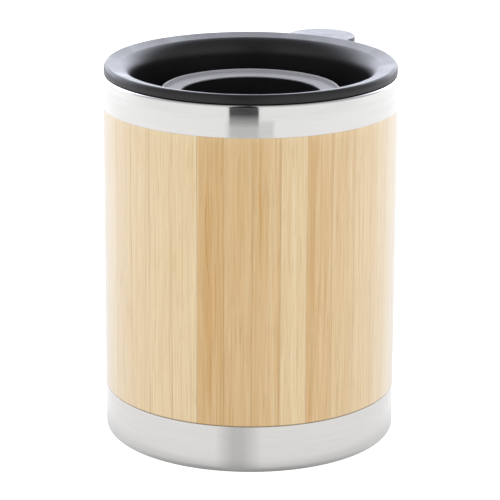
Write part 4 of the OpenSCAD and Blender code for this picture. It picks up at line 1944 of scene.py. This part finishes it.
    def build(
        self,
        plastic: bpy.types.Material,
        ring: bpy.types.Material,
        silicone: bpy.types.Material,
        clip: bpy.types.Material,
    ) -> None:
        """Makes the dial's pieces.

        Args:
            plastic: Finish of the dial.
            ring: Finish of its pale ring.
            silicone: Finish of the pad and the spindle's seal.
            clip: Finish of the clip.
        """
        body = object_from(turned(self.body_outline()), "dial_shell")
        combine(body, [self.gate(), self.bar()], Join.ADD)
        combine(body, [self.pad(self.low - self.wall)], Join.CUT)
        finish_piece(body, plastic, Body.DIAL, "dial")
        seal_r = self.seal_d / 2
        loop = arc((self.seal_groove_r + seal_r, self.seal_z), seal_r, 0, 360, 24)[:-1]
        for shape, name, material, slot, node in (
            (turned(self.ring_outline()), "pale_ring", ring, Slot.RING, "dial_ring"),
            (self.pad(self.pad_low, self.pad_edge), "sealing_pad", silicone, Slot.SEAL, "gate_pad"),
            (turned(loop, 72), "spindle_ring", silicone, Slot.SEAL, "spindle_seal"),
            (self.clip(), "spindle_clip", clip, Slot.CLIP, "dial_clip"),
        ):
            finish_piece(object_from(shape, name), material, Body.DIAL, node)


# Studio


@dataclass(frozen=True)
class Card:
    """A flat card on the table. Its sides run straight away from the mug; lengths are in metres.

    Attributes:
        name: Name of the card.
        left: Sideways slope of its left edge, per metre away from the mug.
        right: The same of its right edge.
        soft: Half of the width over which its sides fade, as a slope.
        near: Distance of its near edge from the mug's wall.
        full: Distance from which it covers fully.
        far: Distance of its far edge.
        cover: How much of the table it covers.
        lift: Its height over the table.
        grey: How bright it looks.
    """

    name: str
    left: float
    right: float
    soft: float
    near: float
    full: float
    far: float
    cover: float
    lift: float
    grey: float = 0.02


@dataclass(frozen=True)
class Studio:
    """A white table in a light tent, and the camera. Lengths are in metres here.

    Attributes:
        distance: How far in front of the axis the camera stands.
        height: Its height over the table.
        pitch: How many degrees it looks down.
        lens: Focal length for a 36 mm sensor.
        roll: How far it is turned about its own line of sight, in radians.
        front_light: Strength of the tent behind the camera.
        side_light: Strength of its sides.
        top_share: How bright its top is beside them.
        seen_light: Strength of the tent as the camera sees it.
        back_light: What the panel behind the mug adds to that in a reflection.
        back_fill: What it adds to the light that falls on matt surfaces.
        back_tint: Colour of that panel.
        left_reach: How much further the panel comes forward at the left.
        right_reach: How much less far it comes forward at the right.
        slot_low: Sideways slope of the dark slot's left edge, per metre towards the camera.
        slot_high: The same of its right edge.
        slot_soft: Half of the width over which its sides fade, as a slope.
        slot_dark: How much of the tent's light it takes away.
        overhead: How far the slot goes on past the zenith.
        glow: Strength of the table's own light in front of the mug.
        glow_behind: The same beside it.
        glow_far: The same further back.
        seen_glow: Strength of the table as the camera sees it.
        table_grey: How much light the table gives back.
        table_half: Half of the table's width.
        table_z: Height of the table.
        foot_r: Radius of the mug's foot.
        clear_r: Radius from which the table lies free of the mug.
        open_r: Radius from which nothing of the mug is felt.
        foot_front: Share of the table's light that is left under the mug's front edge.
        foot_share: The same under the rest of it.
        clear_share: The same just clear of the mug.
        open_gain: What is added to that in the open.
        wall_r: Radius of the mug's wall, as a round mirror.
    """

    distance: float = 0.72416
    height: float = 0.27048
    pitch: float = 16.72
    lens: float = 187.76
    roll: float = 0.00438
    front_light: float = 1.04
    side_light: float = 0.63
    top_share: float = 0.66
    seen_light: float = 1.05
    back_light: float = 3.45
    back_fill: float = 0.6
    back_tint: Colour = (0.91, 0.95, 1.09, 1)
    left_reach: float = 0.14
    right_reach: float = 0.1
    slot_low: float = -0.285
    slot_high: float = 0.107
    slot_soft: float = 0.003
    slot_dark: float = 0.97
    overhead: float = 0.12
    glow: float = 0.68
    glow_behind: float = 0.78
    glow_far: float = 0.86
    seen_glow: float = 1.1
    table_grey: float = 0.5
    table_half: float = 6.0
    table_z: float = -0.0002
    foot_r: float = 0.041
    clear_r: float = 0.052
    open_r: float = 0.3
    foot_front: float = 0.2
    foot_share: float = 0.6
    clear_share: float = 0.94
    open_gain: float = 0.2
    wall_r: float = 0.0425

    def camera(self) -> None:
        """Places the camera: tilted about X, then turned about its own line of sight."""
        data = bpy.data.cameras.new("camera")
        data.lens = self.lens
        data.sensor_width = 36
        data.clip_start = 0.01
        made = bpy.data.objects.new("camera", data)
        tilt = Matrix.Rotation(math.radians(90 - self.pitch), 4, "X")
        place = Matrix.Translation((0, -self.distance, self.height))
        made.matrix_world = place @ tilt @ Matrix.Rotation(self.roll, 4, "Z")
        bpy.context.scene.collection.objects.link(made)
        bpy.context.scene.camera = made

    def world(self) -> None:
        """Makes the tent: a soft panel behind, dimmer sides and front, and a dark slot.

        The parts of a direction run from -1 to 1. The slot takes in the directions towards the
        camera whose sideways part over their forward part lies between its two slopes. The
        camera itself sees plain white.
        """
        g = Graph("tent", world=True)
        x, y, z = g.parts(g.nodes.new("ShaderNodeTexCoord").outputs["Generated"])
        path = g.nodes.new("ShaderNodeLightPath")
        sides = g.span(y, -0.6, 0.2, self.front_light, self.side_light)
        forward = g.math("MAXIMUM", g.scaled(y, -1, self.overhead), 0.0001)
        slope = g.math("DIVIDE", g.scaled(x, 1 + self.overhead), forward)
        slot = g.within(slope, self.slot_low, self.slot_high, self.slot_soft)
        top = g.span(z, 0.45, 0.85, 1, self.top_share)
        around = g.product(sides, top, g.scaled(slot, -self.slot_dark, 1))
        reach = g.math("MAXIMUM", g.scaled(x, -self.left_reach), g.scaled(x, -self.right_reach))
        behind = g.span(g.total(y, reach), 0.2, 0.85)
        behind.node.interpolation_type = "SMOOTHSTEP"
        strength = g.span(path.outputs["Is Glossy Ray"], 0, 1, self.back_fill, self.back_light)
        panel = g.product(behind, g.span(z, 0.65, 0.9, 1, 0), strength)
        tinted = g.mixed(1.0, self.back_tint, panel, "MULTIPLY")
        tent = g.mixed(1.0, g.vector(around, around, around), tinted, "ADD")
        g.surface("Color", g.mixed(path.outputs["Is Camera Ray"], tent, (self.seen_light,) * 3 + (1,)))
        bpy.context.scene.world = g.owner

    def plane(
        self, name: str, corners: Sequence[tuple[float, float]], z: float, material: bpy.types.Material
    ) -> bpy.types.Object:
        """Makes a flat piece that faces up.

        Args:
            name: Name of the piece.
            corners: Its corners, counter-clockwise as seen from above.
            z: Its height.
            material: Its finish.

        Returns:
            The object.
        """
        mesh = bpy.data.meshes.new(name)
        mesh.from_pydata([(x, y, z) for x, y in corners], [], [tuple(range(len(corners)))])
        mesh.materials.append(material)
        made = bpy.data.objects.new(name, mesh)
        bpy.context.scene.collection.objects.link(made)
        return made

    def floor(self) -> None:
        """Makes the pale table, lit from below as a light table is, with a painted shadow at the mug's foot.
        """
        g = Graph("table_white")
        g.surface("Base Color", (self.table_grey,) * 3 + (1,))
        g.surface("Roughness", 0.7)
        g.surface("Specular IOR Level", 0.2)
        x, y, _ = g.parts(g.place())
        away = g.math("SQRT", g.total(g.product(x, x), g.product(y, y)))
        front = g.span(y, -0.4, 0.05, self.glow, self.glow_behind)
        glow = g.total(front, g.span(y, 0.05, 0.35, 0, self.glow_far - self.glow_behind))
        # Painted contact shadow: the glow falls off under the mug's foot and just round it.
        foot = g.span(y, -0.042, -0.02, self.foot_front, self.foot_share)
        clear = g.product(g.scaled(foot, -1, self.clear_share), g.span(away, self.foot_r, self.clear_r))
        open_part = g.span(away, self.clear_r, self.open_r, 0, self.open_gain)
        glow = g.product(glow, g.total(clear, foot, open_part))
        seen = g.nodes.new("ShaderNodeLightPath").outputs["Is Camera Ray"]
        shown = g.mixed(seen, g.vector(glow, glow, glow), (self.seen_glow,) * 3 + (1,))
        g.surface("Emission Color", shown)
        g.surface("Emission Strength", 1.0)
        half = self.table_half
        corners = [(-half, -half), (half, -half), (half, half), (-half, half)]
        self.plane("table", corners, self.table_z, g.owner)

    def card(self, card: Card) -> None:
        """Lays a card on the table, out of the camera's view, for the steel to reflect.

        Its sides run out from the line halfway between the mug's axis and its wall, where a round
        mirror has its focus, so that they look upright in the steel. The card covers what lies
        behind it by the product of a ramp at each side and one at its near edge, the last even
        in 1 over the distance from the wall, as the reflection's height on the steel is.

        Args:
            card: The card.
        """
        focus = self.wall_r / 2
        left, right = card.left - card.soft, card.right + card.soft
        places = (left, card.far), (right, card.far), (right, card.near), (left, card.near)
        corners = [(side * (away + focus), -self.wall_r - away) for side, away in places]
        g = Graph(card.name)
        g.surface("Base Color", (0.01, 0.01, 0.01, 1))
        g.surface("Roughness", 0.9)
        g.surface("Specular IOR Level", 0.0)
        g.surface("Emission Color", (1, 1, 1, 1))
        g.surface("Emission Strength", card.grey)
        x, y, _ = g.parts(g.place())
        away = g.scaled(y, -1, -self.wall_r)
        slope = g.math("DIVIDE", x, g.total(away, focus))
        along = g.span(g.math("DIVIDE", 1.0, away), 1 / card.near, 1 / card.full)
        cover = g.product(g.within(slope, card.left, card.right, card.soft), along)
        g.surface("Alpha", g.scaled(cover, card.cover))
        made = self.plane(card.name, corners, card.lift, g.owner)
        made.visible_camera = False
        made.visible_shadow = False

    def build(self) -> None:
        """Sets up the light, the table, its three cards and the camera."""
        bpy.context.scene.view_settings.view_transform = "Standard"
        self.world()
        self.floor()
        low, high, soft = self.slot_low, self.slot_high, self.slot_soft
        for card in (
            Card("dark_card", low, high, soft, 0.24, 1.4, 5.0, cover=1.0, lift=0.0006),
            Card("grey_card", -0.317, 0.317, 0.03, 0.14, 0.2, 0.42, cover=0.19, lift=0.0004),
            Card("near_card", -0.363, 0.035, 0.136, 0.0021, 0.0022, 0.13, cover=0.26, lift=0.0002),
        ):
            self.card(card)
        self.camera()


def main() -> None:
    """Builds the studio and the mug's sub-assemblies in order, and notes the sizes."""
    logging.basicConfig(level=logging.INFO, format="%(message)s")
    band_steel = BrushedSteel("band_steel").material()
    cup_grey, pale, white = (0.66, 0.66, 0.665, 1), (0.52, 0.52, 0.54, 1), (0.72, 0.71, 0.68, 1)
    cup_steel = BrushedSteel("cup_steel", cup_grey, 0.28, stretch=0.5, line_mm=0.2, depth_mm=0.002).material()
    black = Moulded("lid_black", (0.010, 0.0095, 0.011, 1), 0.4, gloss=0.385).material()
    grey = Moulded("ring_grey", (0.54, 0.54, 0.575, 1), 0.6, 0.18, 0.008, rubbed=0.05, fade=0.04).material()
    silicone = Moulded("seal_silicone", pale, 0.5, 0.3, 0.004, rubbed=0.1, fade=0.06, glow_mm=1.2).material()
    clip = Moulded("clip_white", white, 0.4, 0.3, 0.004, rubbed=0.1, fade=0.06, glow_mm=0.8).material()
    spacer = Moulded("spacer_dark", (0.09, 0.09, 0.095, 1), 0.55, grain_mm=0.3, depth_mm=0.01).material()
    Studio().build()
    SteelShell().build(band_steel, cup_steel, spacer)
    BambooSleeve().build(Bamboo().material())
    Lid().build(black, silicone)
    Dial().build(black, grey, silicone, clip)


if __name__ == "__main__":
    main()
